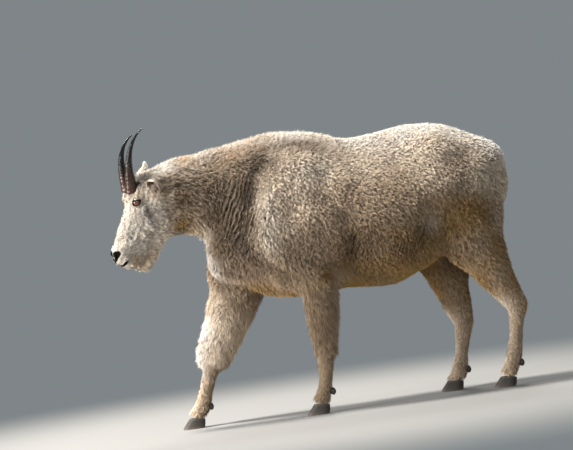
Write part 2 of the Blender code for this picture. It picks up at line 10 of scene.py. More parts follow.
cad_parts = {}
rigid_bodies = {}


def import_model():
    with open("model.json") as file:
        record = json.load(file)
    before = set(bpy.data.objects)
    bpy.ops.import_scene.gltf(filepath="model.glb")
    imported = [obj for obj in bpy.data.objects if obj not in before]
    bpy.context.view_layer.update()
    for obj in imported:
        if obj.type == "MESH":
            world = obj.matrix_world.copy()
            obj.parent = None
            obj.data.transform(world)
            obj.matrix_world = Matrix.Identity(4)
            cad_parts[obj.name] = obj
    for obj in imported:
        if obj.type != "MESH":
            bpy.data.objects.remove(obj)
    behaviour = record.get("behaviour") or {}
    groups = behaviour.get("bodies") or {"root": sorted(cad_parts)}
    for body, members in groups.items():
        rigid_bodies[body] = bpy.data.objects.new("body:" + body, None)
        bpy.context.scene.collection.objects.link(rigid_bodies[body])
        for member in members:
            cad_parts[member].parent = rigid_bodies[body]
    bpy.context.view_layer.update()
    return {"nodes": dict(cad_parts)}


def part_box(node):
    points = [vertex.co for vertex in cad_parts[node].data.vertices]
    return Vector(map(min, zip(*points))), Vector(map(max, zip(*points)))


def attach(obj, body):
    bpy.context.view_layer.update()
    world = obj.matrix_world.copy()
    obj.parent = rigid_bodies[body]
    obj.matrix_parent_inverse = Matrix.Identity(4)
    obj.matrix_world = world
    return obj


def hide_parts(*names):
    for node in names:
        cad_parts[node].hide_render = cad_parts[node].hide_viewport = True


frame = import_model()
print("frame loaded")

# The frame's own places: the side view with the back level, then the ground turned level.
pose = dict(
    slope=math.radians(8.0),  # the ground's fall under a level back
    pivot=0.049,  # where that ground line meets z = 0
    poll=(-0.529, -0.070, 0.8295),  # top of the head, between the ears
    facePitch=math.radians(76.0),
    faceTurn=math.radians(16.0),
    faceLean=math.radians(7.0),
    eyePlace=(0.080, -0.001, 0.048),  # along the face, above its line, to the side
)


def turnLevel(point):
    x, y, z = point
    across = x - pose["pivot"]
    c, s = math.cos(pose["slope"]), math.sin(pose["slope"])
    return Vector((pose["pivot"] + across * c + z * s, y, z * c - across * s))


def headAxes():
    pitch = pose["facePitch"]
    along = Vector((-math.cos(pitch), 0.0, -math.sin(pitch)))
    above = Vector((-math.sin(pitch), 0.0, math.cos(pitch)))
    lean = Matrix.Rotation(pose["faceLean"], 3, "X") @ Matrix.Rotation(pose["faceTurn"], 3, "Z")
    return Matrix([lean @ along, lean @ above, lean @ Vector((0.0, 1.0, 0.0))]).transposed()


headMatrix = headAxes()


def middleOf(node):
    low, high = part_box(node)
    return (low + high) / 2


def headRaw(point):
    return turnLevel(Vector(pose["poll"]) + headMatrix @ Vector(point))


eyeAlong, eyeAbove, eyeSide = pose["eyePlace"]
originShift = middleOf("eye_left") - headRaw((eyeAlong, eyeAbove, -eyeSide))
levelTurn = Matrix.Rotation(pose["slope"], 3, "Y")


def onBody(x, y, z):  # a place of the level-backed side view
    return turnLevel((x, y, z)) + originShift


def onHead(along, above, side):  # a place in the head's own axes
    return headRaw((along, above, side)) + originShift


def bodyWay(x, y, z):
    return (levelTurn @ Vector((x, y, z))).normalized()


def headWay(along, above, side):
    return (levelTurn @ (headMatrix @ Vector((along, above, side)))).normalized()


# Camera: the photograph's view, with its ground leaning as it does there
cameraSettings = dict(azimuth=-6.0, elevation=1.5, roll=-8.0, distance=14.0, sensor=36.0, far=200.0,
                      pixel=0.0035, pixelsAcross=573, aside=-14.0, above=190.0)  # the last two in pixels


def makeCamera():
    c = cameraSettings
    azimuth, elevation, roll = (math.radians(c[k]) for k in ("azimuth", "elevation", "roll"))
    right = Vector((math.cos(azimuth), math.sin(azimuth), 0.0))
    ahead = Vector((-math.sin(azimuth) * math.cos(elevation), math.cos(azimuth) * math.cos(elevation),
                    -math.sin(elevation)))
    up = right.cross(ahead)
    rightRolled = right * math.cos(roll) + up * math.sin(roll)
    upRolled = up * math.cos(roll) - right * math.sin(roll)
    target = onBody(pose["pivot"], 0.0, 0.0) + (rightRolled * c["aside"] + upRolled * c["above"]) * c["pixel"]
    data = bpy.data.cameras.new("camera")
    data.sensor_width = c["sensor"]
    data.lens = c["sensor"] * c["distance"] / (c["pixelsAcross"] * c["pixel"])
    data.clip_end = c["far"]
    thing = bpy.data.objects.new("camera", data)
    bpy.context.scene.collection.objects.link(thing)
    thing.matrix_world = Matrix.Translation(target - ahead * c["distance"]) @ Matrix(
        (rightRolled, upRolled, -ahead)).transposed().to_4x4()
    bpy.context.scene.camera = thing


makeCamera()


# Small helpers for meshes and materials
def meshObject(name, points, faces, smooth=True):
    mesh = bpy.data.meshes.new(name)
    mesh.from_pydata([tuple(p) for p in points], [], [tuple(f) for f in faces])
    mesh.validate()
    thing = bpy.data.objects.new(name, mesh)
    bpy.context.scene.collection.objects.link(thing)
    if smooth:
        mesh.shade_smooth()
    return thing


def plainCopy(thing, name):
    graph = bpy.context.evaluated_depsgraph_get()
    mesh = bpy.data.meshes.new_from_object(thing.evaluated_get(graph))
    mesh.name = name
    copy = bpy.data.objects.new(name, mesh)
    bpy.context.scene.collection.objects.link(copy)
    return copy


def drop(*things):
    for thing in things:
        data = thing.data
        bpy.data.objects.remove(thing)
        if isinstance(data, bpy.types.Mesh) and data.users == 0:
            bpy.data.meshes.remove(data)


def openShape(thing):
    shape = bmesh.new()
    shape.from_mesh(thing.data)
    return shape


def closeShape(shape, thing):
    shape.to_mesh(thing.data)
    shape.free()
    thing.data.update()


def gridFaces(rows, count, closed=True):  # faces between rings of points, with a cap at each end if closed
    faces = []
    for i in range(rows - 1):
        for k in range(count):
            j = (k + 1) % count
            faces.append((i * count + k, i * count + j, (i + 1) * count + j, (i + 1) * count + k))
    if closed:
        faces.append(tuple(range(count))[::-1])
        faces.append(tuple((rows - 1) * count + k for k in range(count)))
    return faces


def threes(rows, field):  # a vector field of a mesh's rows, as an array
    values = np.empty(len(rows) * 3)
    rows.foreach_get(field, values)
    return values.reshape(-1, 3)


def pointsOf(mesh):
    return threes(mesh.vertices, "co")


def normalsOf(mesh):
    return threes(mesh.vertex_normals, "vector")


def writePoints(mesh, places):
    mesh.vertices.foreach_set("co", np.ascontiguousarray(places).ravel())
    mesh.update()


def writeAttribute(mesh, name, kind, values):
    layer = mesh.attributes.get(name) or mesh.attributes.new(name, kind, "POINT")
    field = {"FLOAT": "value", "FLOAT_VECTOR": "vector", "FLOAT_COLOR": "color"}[kind]
    layer.data.foreach_set(field, np.ascontiguousarray(values, dtype=np.float32).ravel())


def smoothStep(low, high, value):
    t = np.clip((value - low) / (high - low), 0.0, 1.0)
    return t * t * (3 - 2 * t)


def wavyNoise(places, size, seed):  # smooth noise of -1 to 1 from a few turned waves
    rng = np.random.default_rng(seed)
    total = np.zeros(len(places))
    for _ in range(7):
        way = rng.normal(size=3)
        way /= np.linalg.norm(way)
        total += np.sin(places @ way * (2 * math.pi / size * rng.uniform(0.7, 1.4)) + rng.uniform(0, 6.28))
    return total / 3.2


# The lie, depth, length and colour of the coat, from named places on the goat
# Several tones carry painted light: the darker browns and greys paint the shade on the lower sides, belly,
# neck and back of the face, over the coat's own cream and fawn, and the ivory tone paints light where it
# falls.
tones = dict(
    white=(0.91, 0.88, 0.84), ivory=(0.96, 0.87, 0.75), cream=(0.80, 0.69, 0.565), warm=(0.70, 0.55, 0.39),
    fawn=(0.64, 0.48, 0.345), side=(0.46, 0.36, 0.265), shade=(0.38, 0.29, 0.20), low=(0.34, 0.215, 0.095),
    tan=(0.50, 0.32, 0.115), amber=(0.24, 0.145, 0.055), brown=(0.27, 0.20, 0.14), grey=(0.28, 0.215, 0.16),
    umber=(0.165, 0.125, 0.095), slate=(0.075, 0.068, 0.061), dark=(0.022, 0.020, 0.018),
    black=(0.004, 0.0035, 0.0035), face=(0.72, 0.67, 0.61), jaw=(0.76, 0.70, 0.62), jowl=(0.66, 0.58, 0.49),
    cheek=(0.58, 0.53, 0.475), ash=(0.205, 0.190, 0.175), chin=(0.58, 0.46, 0.335), inner=(0.20, 0.12, 0.08),
)
# Each row: place, lie, depth of the coat, length of its hair, how far tufts lift, tone.
# Rows beside the middle stand for both sides.
# Down the flanks, belly, thighs and chest the side, low, tan and brown tones are partly the coat's own
# cream-brown and partly painted shade, darker lower down, away from the light.
coatPlaces = {
    "withers": ((0.02, 0.0, 1.00), (1.0, 0.0, -0.05), 0.018, 0.014, 0.3, "white"),
    "back": ((0.24, 0.0, 0.98), (1.0, 0.0, 0.05), 0.014, 0.0168, 0.5, "white"),
    "loin": ((0.40, 0.0, 1.02), (1.0, 0.0, 0.05), 0.014, 0.0168, 0.5, "white"),
    "croup": ((0.56, 0.0, 1.01), (0.9, 0.0, -0.3), 0.014, 0.0168, 0.5, "white"),
    "rump": ((0.70, 0.0, 0.96), (0.75, 0.0, -0.65), 0.016, 0.024, 0.7, "white"),
    "rumpBack": ((0.76, 0.06, 0.80), (0.15, 0.0, -1.0), 0.014, 0.0168, 0.45, "cream"),
    "rumpSide": ((0.64, 0.15, 0.86), (0.55, 0.0, -0.8), 0.013, 0.0161, 0.45, "cream"),
    "breech": ((0.75, 0.11, 0.66), (0.1, 0.0, -1.0), 0.014, 0.0168, 0.45, "low"),
    "thigh": ((0.62, 0.18, 0.72), (0.35, 0.0, -0.95), 0.013, 0.0161, 0.4, "low"),
    "thighFront": ((0.53, 0.17, 0.66), (0.15, 0.0, -1.0), 0.013, 0.0161, 0.4, "low"),
    "groin": ((0.52, 0.06, 0.55), (0.4, 0.0, -0.9), 0.012, 0.0138, 0.4, "tan"),
    "hip": ((0.50, 0.17, 0.90), (0.8, 0.0, -0.5), 0.013, 0.0161, 0.42, "cream"),
    "flank": ((0.36, 0.20, 0.76), (0.8, 0.0, -0.55), 0.013, 0.0161, 0.4, "side"),
    "flankLow": ((0.36, 0.17, 0.58), (0.75, 0.0, -0.65), 0.013, 0.0161, 0.4, "low"),
    "ribs": ((0.20, 0.20, 0.76), (0.75, 0.0, -0.6), 0.013, 0.0161, 0.4, "side"),
    "ribsHigh": ((0.20, 0.15, 0.91), (0.9, 0.0, -0.4), 0.013, 0.0161, 0.45, "cream"),
    "ribsLow": ((0.20, 0.18, 0.55), (0.7, 0.0, -0.7), 0.013, 0.0161, 0.4, "low"),
    "belly": ((0.22, 0.05, 0.44), (0.7, 0.0, -0.7), 0.013, 0.0176, 0.5, "tan"),
    "bellyBack": ((0.44, 0.05, 0.50), (0.7, 0.0, -0.7), 0.013, 0.0176, 0.5, "tan"),
    "blade": ((0.04, 0.17, 0.82), (0.55, 0.0, -0.85), 0.012, 0.0153, 0.4, "cream"),
    "bladeHigh": ((0.02, 0.10, 0.93), (0.7, 0.0, -0.6), 0.013, 0.0161, 0.45, "cream"),
    "shoulder": ((-0.10, 0.15, 0.67), (0.35, 0.0, -0.95), 0.012, 0.0153, 0.4, "side"),
    "upperArm": ((0.05, 0.18, 0.58), (0.3, 0.0, -0.95), 0.012, 0.0153, 0.4, "side"),
    "elbow": ((0.12, 0.16, 0.49), (0.3, 0.0, -0.95), 0.012, 0.0153, 0.4, "low"),
    "breast": ((-0.300, 0.0, 0.64), (-0.1, 0.0, -1.0), 0.022, 0.030, 0.6, "white"),
    "breastLow": ((-0.285, 0.0, 0.53), (0.1, 0.0, -1.0), 0.024, 0.032, 0.6, "white"),
    "breastSide": ((-0.235, 0.075, 0.60), (0.15, 0.0, -1.0), 0.014, 0.020, 0.5, "brown"),
    "breastSideLow": ((-0.225, 0.085, 0.50), (0.15, 0.0, -1.0), 0.016, 0.026, 0.5, "brown"),
    "breastInner": ((-0.13, 0.11, 0.50), (0.35, 0.0, -0.95), 0.014, 0.022, 0.45, "brown"),
    "brisket": ((-0.10, 0.02, 0.43), (0.5, 0.0, -0.85), 0.020, 0.0154, 0.5, "low"),
    "girth": ((0.06, 0.04, 0.42), (0.6, 0.0, -0.8), 0.016, 0.0138, 0.5, "tan"),
    "crest": ((-0.20, 0.0, 0.955), (0.85, 0.0, 0.25), 0.021, 0.017, 0.60, "white"),
    "crestMiddle": ((-0.33, -0.03, 0.92), (0.8, 0.0, 0.3), 0.020, 0.016, 0.60, "white"),
    "nape": ((-0.45, -0.055, 0.88), (0.8, 0.0, 0.4), 0.016, 0.015, 0.60, "white"),
}
neckPlaces = {  # on each side of the neck, with y beside its own middle
    # The grey, brown and low tones down the neck and throat are partly the coat's own colour and partly
    # painted shade under the neck.
    "neckBand": ((-0.20, 0.060, 0.925), (0.9, 0.0, -0.2), 0.013, 0.0150, 0.45, "fawn"),
    "neckBandFront": ((-0.36, 0.040, 0.910), (0.9, 0.0, -0.1), 0.012, 0.0140, 0.45, "fawn"),
    "neckHigh": ((-0.27, 0.075, 0.875), (0.9, 0.0, -0.1), 0.013, 0.0145, 0.45, "side"),
    "neckMiddle": ((-0.28, 0.09, 0.80), (0.8, 0.0, -0.5), 0.012, 0.0138, 0.4, "grey"),
    "neckLow": ((-0.27, 0.085, 0.69), (0.6, 0.0, -0.75), 0.013, 0.0153, 0.45, "brown"),
    "neckFront": ((-0.38, 0.07, 0.76), (0.8, 0.0, -0.5), 0.010, 0.0115, 0.4, "brown"),
    "neckBase": ((-0.17, 0.12, 0.80), (0.7, 0.0, -0.65), 0.012, 0.0145, 0.4, "side"),
    "neckBaseLow": ((-0.16, 0.12, 0.68), (0.5, 0.0, -0.85), 0.013, 0.0153, 0.4, "side"),
    "shoulderEdge": ((-0.10, 0.135, 0.75), (0.5, 0.0, -0.85), 0.013, 0.0150, 0.4, "cream"),
    "shoulderEdgeLow": ((-0.08, 0.145, 0.66), (0.5, 0.0, -0.85), 0.013, 0.0150, 0.4, "cream"),
    "throatSide": ((-0.38, 0.05, 0.66), (0.75, 0.0, -0.55), 0.010, 0.0115, 0.45, "low"),
    "throat": ((-0.33, 0.0, 0.635), (0.8, 0.0, -0.5), 0.012, 0.013, 0.5, "warm"),
}
headPlaces = {  # along the face, above its line, to the side
    "noseTip": ((0.285, 0.024, 0.0), (-1.0, 0.1, 0.0), 0.0012, 0.006, 0.1, "face"),
    "noseBridge": ((0.20, 0.028, 0.0), (-1.0, 0.0, 0.0), 0.0018, 0.009, 0.15, "face"),
    "foreheadLow": ((0.12, 0.027, 0.0), (-1.0, 0.0, 0.0), 0.0025, 0.012, 0.2, "face"),
    "forehead": ((0.065, 0.036, 0.0), (-1.0, 0.1, 0.0), 0.003, 0.011, 0.2, "face"),
    "crown": ((0.0, 0.015, 0.0), (-0.8, -0.6, 0.0), 0.008, 0.024, 0.5, "white"),
    "muzzleSide": ((0.262, -0.006, 0.032), (-0.9, -0.35, 0.0), 0.0012, 0.006, 0.12, "face"),
    "upperLip": ((0.298, -0.020, 0.016), (-0.5, -0.8, 0.1), 0.0012, 0.006, 0.15, "face"),
    "chin": ((0.312, -0.055, 0.0), (0.1, -1.0, 0.0), 0.003, 0.012, 0.4, "face"),
    "chinSide": ((0.285, -0.060, 0.022), (-0.3, -0.9, 0.0), 0.003, 0.013, 0.35, "chin"),
    "beard": ((0.285, -0.125, 0.0), (0.25, -0.9, 0.0), 0.015, 0.028, 0.35, "warm"),
    "beardSide": ((0.275, -0.100, 0.022), (0.0, -1.0, 0.0), 0.008, 0.024, 0.35, "warm"),
    "jawFringe": ((0.22, -0.140, 0.0), (-0.1, -1.0, 0.0), 0.012, 0.024, 0.35, "cream"),
    "jawFront": ((0.242, -0.068, 0.030), (-0.4, -0.9, 0.0), 0.004, 0.017, 0.35, "face"),
    "jaw": ((0.20, -0.085, 0.034), (-0.5, -0.85, 0.0), 0.004, 0.018, 0.35, "jaw"),
    # The jowl, cheek, brown and low tones of the rows on the back and underside of the face are painted
    # shade, darker away from the light.
    "cheekLow": ((0.15, -0.095, 0.046), (-0.6, -0.8, 0.0), 0.005, 0.020, 0.35, "jowl"),
    "cheek": ((0.12, -0.060, 0.056), (-0.75, -0.65, 0.0), 0.004, 0.018, 0.3, "cheek"),
    "cheekHigh": ((0.16, -0.020, 0.046), (-0.9, -0.4, 0.0), 0.0025, 0.012, 0.2, "face"),
    "faceSide": ((0.215, 0.000, 0.036), (-0.95, -0.3, 0.0), 0.002, 0.009, 0.15, "face"),
    "underEye": ((0.105, -0.022, 0.058), (-0.8, -0.5, 0.0), 0.002, 0.008, 0.15, "face"),
    "brow": ((0.060, 0.012, 0.058), (-0.9, 0.2, 0.2), 0.0025, 0.010, 0.2, "cream"),
    "behindEye": ((0.060, -0.045, 0.058), (-0.5, -0.85, 0.0), 0.004, 0.016, 0.3, "cheek"),
    "earRoot": ((0.020, -0.060, 0.050), (-0.3, -0.8, 0.3), 0.004, 0.014, 0.3, "cheek"),
    "behindEar": ((-0.005, -0.090, 0.048), (-0.1, -1.0, 0.0), 0.010, 0.028, 0.45, "grey"),
    "cheekBack": ((0.07, -0.125, 0.050), (-0.3, -1.0, 0.0), 0.009, 0.030, 0.45, "brown"),
    "throatLatch": ((0.12, -0.150, 0.0), (-0.2, -1.0, 0.0), 0.014, 0.036, 0.5, "low"),
}
legJoints = {  # side, then the places of each leg's joints and their sideways offsets
    "leg_front_left": (-1, ((0.060, 0.560), (0.108, 0.430), (0.128, 0.232), (0.126, 0.095), (0.112, 0.046)),
                       (0.112, 0.108, 0.100, 0.096, 0.094)),
    "leg_front_right": (1, ((-0.162, 0.560), (-0.169, 0.410), (-0.250, 0.186), (-0.282, 0.034),
                            (-0.306, -0.013)), (0.105, 0.106, 0.104, 0.100, 0.098)),
    "leg_hind_left": (-1, ((0.612, 0.735), (0.650, 0.595), (0.803, 0.381), (0.790, 0.192), (0.768, 0.140)),
                      (0.098, 0.112, 0.100, 0.096, 0.096)),
    "leg_hind_right": (1, ((0.590, 0.720), (0.556, 0.556), (0.644, 0.318), (0.632, 0.160), (0.612, 0.108)),
                       (0.098, 0.112, 0.106, 0.102, 0.100)),
}
# Along a leg: place between joints, depth, length, lift, tones of its front, sides and back.
# The forelegs carry long hair down to the knee.
# The legs' fronts are lighter and their sides and backs darker, partly the coat's own colour and partly
# painted light from the front and shade behind.
foreCoat = (
    (0.45, 0.014, 0.022, 0.45, "side", "shade", "side"), (1.0, 0.018, 0.030, 0.45, "cream", "side", "side"),
    (1.5, 0.020, 0.034, 0.5, "white", "cream", "warm"), (1.9, 0.017, 0.034, 0.5, "white", "cream", "warm"),
    (2.2, 0.006, 0.018, 0.3, "white", "side", "low"), (2.6, 0.0025, 0.011, 0.2, "cream", "side", "low"),
    (3.0, 0.0035, 0.014, 0.3, "cream", "side", "low"), (3.9, 0.005, 0.020, 0.4, "cream", "warm", "low"),
)
nearForeCoat = tuple((at, depth, length, lift, "shade", "brown" if at < 2.1 else "shade", "side")
                     for at, depth, length, lift, *_ in foreCoat)  # in the goat's own shade
hindCoat = (
    (1.0, 0.014, 0.022, 0.4, "low", "shade", "low"), (1.5, 0.011, 0.020, 0.4, "low", "shade", "low"),
    (2.0, 0.005, 0.014, 0.3, "cream", "side", "tan"), (2.5, 0.0025, 0.011, 0.2, "cream", "side", "side"),
    (3.0, 0.0035, 0.014, 0.3, "cream", "side", "side"), (3.9, 0.005, 0.020, 0.4, "cream", "warm", "low"),
)
legSettings = dict(halfDepth=0.045, halfWidth=0.04, slimBelow=2.1, slimmer=0.6, sweep=0.12)
# The neck swings to the goat's left. Its middle as x and y, for the coat, the folds and the sides' seam.
neckMiddle = dict(
    coat=((-0.43, -0.365, -0.30, -0.235, -0.165, -0.095), (-0.056, -0.044, -0.031, -0.018, -0.008, 0.0)),
    folds=((-0.43, -0.095), (-0.056, 0.0)),
    seam=((-0.43, -0.165, -0.095), (-0.056, -0.008, 0.0)),
)


def neckLine(x, kind="folds"):  # the y of the middle of neck and body
    return np.interp(x, *neckMiddle[kind])


def legRows(name, side, joints, offsets):  # four rows round the leg at each place along it
    coat = hindCoat if "hind" in name else nearForeCoat if side < 0 else foreCoat
    g = legSettings
    rows = []
    for at, depth, length, lift, front, flank, back in coat:
        i = min(int(at), len(joints) - 2)
        t = at - i
        (x0, z0), (x1, z1) = joints[i], joints[i + 1]
        middle = Vector((x0 + (x1 - x0) * t, side * (offsets[i] + (offsets[i + 1] - offsets[i]) * t),
                         z0 + (z1 - z0) * t))
        down = Vector((x1 - x0, 0.0, z1 - z0)).normalized() + Vector((g["sweep"], 0.0, 0.0))
        for out, tone in (((g["halfDepth"], 0), back), ((-g["halfDepth"], 0), front),
                          ((0, g["halfWidth"]), flank), ((0, -g["halfWidth"]), flank)):
            place = middle + Vector((*out, 0.0)) * (1.0 if at < g["slimBelow"] else g["slimmer"])
            rows.append((onBody(*place), bodyWay(*down), depth, length, lift, tone))
    return rows


def coatRows():  # every row as place, lie, depth, length, lift and tone in the model
    rows = []
    for (x, y, z), way, *rest in coatPlaces.values():
        for side in ((-1, 1) if y else (1,)):
            rows.append((onBody(x, y * side, z), bodyWay(*way), *rest))
    for (x, y, z), way, *rest in neckPlaces.values():
        for side in ((-1, 1) if y else (1,)):
            rows.append((onBody(x, y * side + neckLine(x, "coat"), z), bodyWay(*way), *rest))
    for (along, above, across), way, *rest in headPlaces.values():
        for side in ((-1, 1) if across else (1,)):
            rows.append((onHead(along, above, across * side), headWay(way[0], way[1], way[2] * side), *rest))
    for name, (side, joints, offsets) in legJoints.items():
        rows += legRows(name, side, joints, offsets)
    return rows


def coatField(places):  # lie, depth, length, lift and colour at each place, blended from the rows near it
    rows = coatRows()
    spots = np.array([tuple(r[0]) for r in rows])
    table = np.array([(*r[1], r[2], r[3], r[4], *tones[r[5]]) for r in rows])
    out = np.zeros((len(places), table.shape[1]))
    batch = 20000
    for start in range(0, len(places), batch):
        part = places[start:start + batch]
        distance = np.linalg.norm(part[:, None, :] - spots[None, :, :], axis=2)
        weight = 1.0 / (distance + 0.012) ** 4.0
        out[start:start + batch] = (weight @ table) / weight.sum(axis=1, keepdims=True)
    lie = out[:, :3]
    lie /= np.linalg.norm(lie, axis=1, keepdims=True) + 1e-9
    return lie, out[:, 3], out[:, 4], out[:, 5], out[:, 6:9]


# The skin: the frame's flesh fused, eased, and drawn in by the depth of the coat
fleshNodes = ["head", "neck", "trunk", "tail", *legJoints]
skinSettings = dict(grid=0.0058, easing=7, swell=0.0012, eyeSwell=0.004, wallWidth=0.034,
                    saddleAlong=(-0.02, 0.0, 0.03, 0.045, 0.054),
                    saddleAbove=(0.0, 0.002, 0.010, 0.018, 0.034))
socketFills = (  # radius and place of the balls that fill the frame's sockets of horns and ears
    (0.0225, (0.056, 0.0105, 0.0225)),
    (0.024, (0.012, -0.046, 0.040)),
)


def toLevel(places):
    q = places - np.array(originShift)
    c, s = math.cos(pose["slope"]), math.sin(pose["slope"])
    across = q[:, 0] - pose["pivot"]
    return np.stack([pose["pivot"] + across * c - q[:, 2] * s, q[:, 1], across * s + q[:, 2] * c], axis=1)


def fromLevel(places):
    c, s = math.cos(pose["slope"]), math.sin(pose["slope"])
    across = places[:, 0] - pose["pivot"]
    return np.stack([pose["pivot"] + across * c + places[:, 2] * s, places[:, 1],
                     places[:, 2] * c - across * s], axis=1) + np.array(originShift)


def toHead(places):
    return (toLevel(places) - np.array(pose["poll"])) @ np.array(headMatrix)


def fromHead(places):
    return fromLevel(places @ np.array(headMatrix).T + np.array(pose["poll"]))


def lowerWall(part):  # takes down the thin wall that the frame has between the horns' sockets
    h = toHead(np.array([tuple(v.co) for v in part.verts]))
    along, above = skinSettings["saddleAlong"], skinSettings["saddleAbove"]
    top = np.interp(h[:, 0], along, above)
    tall = (h[:, 0] > along[0]) & (h[:, 0] < along[-1]) & (h[:, 1] > top)
    tall &= np.abs(h[:, 2]) < skinSettings["wallWidth"]
    h[tall, 1] = top[tall]
    for v, place in zip(part.verts, fromHead(h)):
        v.co = place


def fusedFlesh():
    whole = bmesh.new()
    for name in fleshNodes + ["eye_left", "eye_right"]:
        part = bmesh.new()
        part.from_mesh(frame["nodes"][name].data)
        bmesh.ops.remove_doubles(part, verts=part.verts, dist=0.00005)
        part.normal_update()
        swell = skinSettings["swell" if name in fleshNodes else "eyeSwell"]
        for v in part.verts:
            v.co += v.normal * swell
        if name == "head":
            lowerWall(part)
        part.verts.index_update()
        mesh = bpy.data.meshes.new("part")
        part.to_mesh(mesh)
        part.free()
        whole.from_mesh(mesh)
        bpy.data.meshes.remove(mesh)
    for radius, (along, above, across) in socketFills:
        for side in (-1, 1):
            bmesh.ops.create_icosphere(whole, subdivisions=2, radius=radius,
                                       matrix=Matrix.Translation(onHead(along, above, across * side)))
    mesh = bpy.data.meshes.new("whole")
    whole.to_mesh(mesh)
    whole.free()
    thing = bpy.data.objects.new("whole", mesh)
    bpy.context.scene.collection.objects.link(thing)
    fuse = thing.modifiers.new("fuse", "REMESH")
    fuse.mode = "VOXEL"
    fuse.voxel_size = skinSettings["grid"]
    ease = thing.modifiers.new("ease", "SMOOTH")
    ease.factor = 0.5
    ease.iterations = skinSettings["easing"]
    made = plainCopy(thing, "skin")
    drop(thing)
    return made


def keepLargest(thing):  # inner shells left by the fusing go
    shape = openShape(thing)
    seen, groups = set(), []
    for start in shape.verts:
        if start.index in seen:
            continue
        stack, group = [start], []
        seen.add(start.index)
        while stack:
            v = stack.pop()
            group.append(v)
            for e in v.link_edges:
                w = e.other_vert(v)
                if w.index not in seen:
                    seen.add(w.index)
                    stack.append(w)
        groups.append(group)
    groups.sort(key=len)
    for group in groups[:-1]:
        bmesh.ops.delete(shape, geom=group, context="VERTS")
    closeShape(shape, thing)


skin = fusedFlesh()
keepLargest(skin)
print("skin fused:", len(skin.data.polygons), "faces")


def drawIn(thing):
    mesh = thing.data
    rounds = 3  # in steps, so that narrow parts stay sound
    for _ in range(rounds):
        places = pointsOf(mesh)
        depth = coatField(places)[1]
        writePoints(mesh, places - normalsOf(mesh) * depth[:, None] / rounds)


drawIn(skin)


# The head: finer skin with nostrils, mouth, brows and cheeks
headDetail = dict(
    eyeRadius=0.0155,
    eyeOpening=(0.0140, 0.0072),  # half length and half height of the almond
    nostril=(0.280, 0.0155, 0.0215),
    nosePatch=((0.277, 0.024, 0.009), (0.268, 0.012, 0.029), (0.294, 0.013, 0.016), (0.277, 0.024, 0.009)),
    mouth=((0.312, -0.0165, 0.0), (0.309, -0.0175, 0.012), (0.302, -0.0195, 0.0255), (0.292, -0.0235, 0.033),
           (0.2805, -0.030, 0.0325), (0.269, -0.036, 0.032)),
    strokeGain=1.35,
)
nostrilShape = dict(lengthways=(0.80, 0.05, -0.60), crossways=(0.0, 1.0, 0.08), slant=0.25,
                    hole=(0.0125, 0.0052), depth=0.010, rim=(0.0155, 0.0080), rimWidth=0.22, rimHeight=0.0014)
mouthShape = dict(depth=0.0065, width=0.0032, lipAt=0.006, lipWidth=0.0028, lipHeight=0.0014)
faceSwells = (  # middle, reach and height of the soft forms of each side
    ((0.064, 0.012, 0.050), (0.024, 0.014, 0.014), -0.0050),  # brow, set back over the eye
    ((0.150, -0.032, 0.042), (0.060, 0.010, 0.02), 0.0030),  # ridge down from the cheekbone
    ((0.150, -0.008, 0.042), (0.045, 0.012, 0.02), -0.0022),  # hollow in front of the eye
    ((0.185, -0.052, 0.036), (0.035, 0.012, 0.02), -0.0022),  # hollow behind the lips
    ((0.115, -0.085, 0.052), (0.045, 0.035, 0.03), 0.0030),  # jaw muscle
    ((0.272, -0.012, 0.030), (0.022, 0.016, 0.02), 0.0030),  # upper lip pad
    ((0.288, -0.046, 0.020), (0.022, 0.012, 0.02), 0.0022),  # lower lip
    ((0.280, 0.028, 0.020), (0.018, 0.008, 0.012), 0.0022),  # top of the nostril
    ((0.285, 0.020, 0.012), (0.022, 0.014, 0.022), -0.0045),  # between nostril and nose bridge
)
faceStrokes = (  # points, half width, height: ridges and hollows of each cheek
    (((0.098, -0.028, 0.058), (0.116, -0.037, 0.055), (0.135, -0.052, 0.054), (0.155, -0.071, 0.050)),
     0.0085, 0.0050),
    (((0.105, -0.004, 0.052), (0.135, -0.018, 0.047), (0.161, -0.030, 0.042), (0.204, -0.023, 0.035)),
     0.0080, -0.0038),
    (((0.180, -0.052, 0.037), (0.198, -0.066, 0.032)), 0.0080, 0.0040),
    (((0.238, -0.037, 0.033), (0.225, -0.050, 0.034)), 0.0055, -0.0035),
    (((0.232, -0.072, 0.024), (0.246, -0.080, 0.021)), 0.0070, 0.0035),
    (((0.255, -0.083, 0.022), (0.272, -0.091, 0.020), (0.293, -0.108, 0.018)), 0.0050, 0.0035),
    (((0.258, -0.069, 0.025), (0.285, -0.084, 0.021)), 0.0045, -0.0035),
    (((0.210, 0.006, 0.026), (0.199, -0.009, 0.032), (0.206, -0.022, 0.034)), 0.0055, -0.0040),
    (((0.312, -0.067, 0.0), (0.300, -0.066, 0.018), (0.285, -0.066, 0.026)), 0.0050, -0.0045),
    (((0.306, -0.042, 0.0), (0.296, -0.046, 0.018)), 0.0090, 0.0030),
)


def isHead(level):  # in front of the plane that parts the head from the neck
    return level[:, 0] < -0.400 - (level[:, 2] - 0.640) * 0.223


def refine(thing, chosen):  # halves the grid where chosen says so
    shape = openShape(thing)
    shape.verts.ensure_lookup_table()
    edges = [e for e in shape.edges if chosen[e.verts[0].index] and chosen[e.verts[1].index]]
    bmesh.ops.subdivide_edges(shape, edges=edges, cuts=1, use_grid_fill=True, smooth=0.5)
    wide = [f for f in shape.faces if len(f.verts) > 4]
    bmesh.ops.triangulate(shape, faces=wide)
    closeShape(shape, thing)


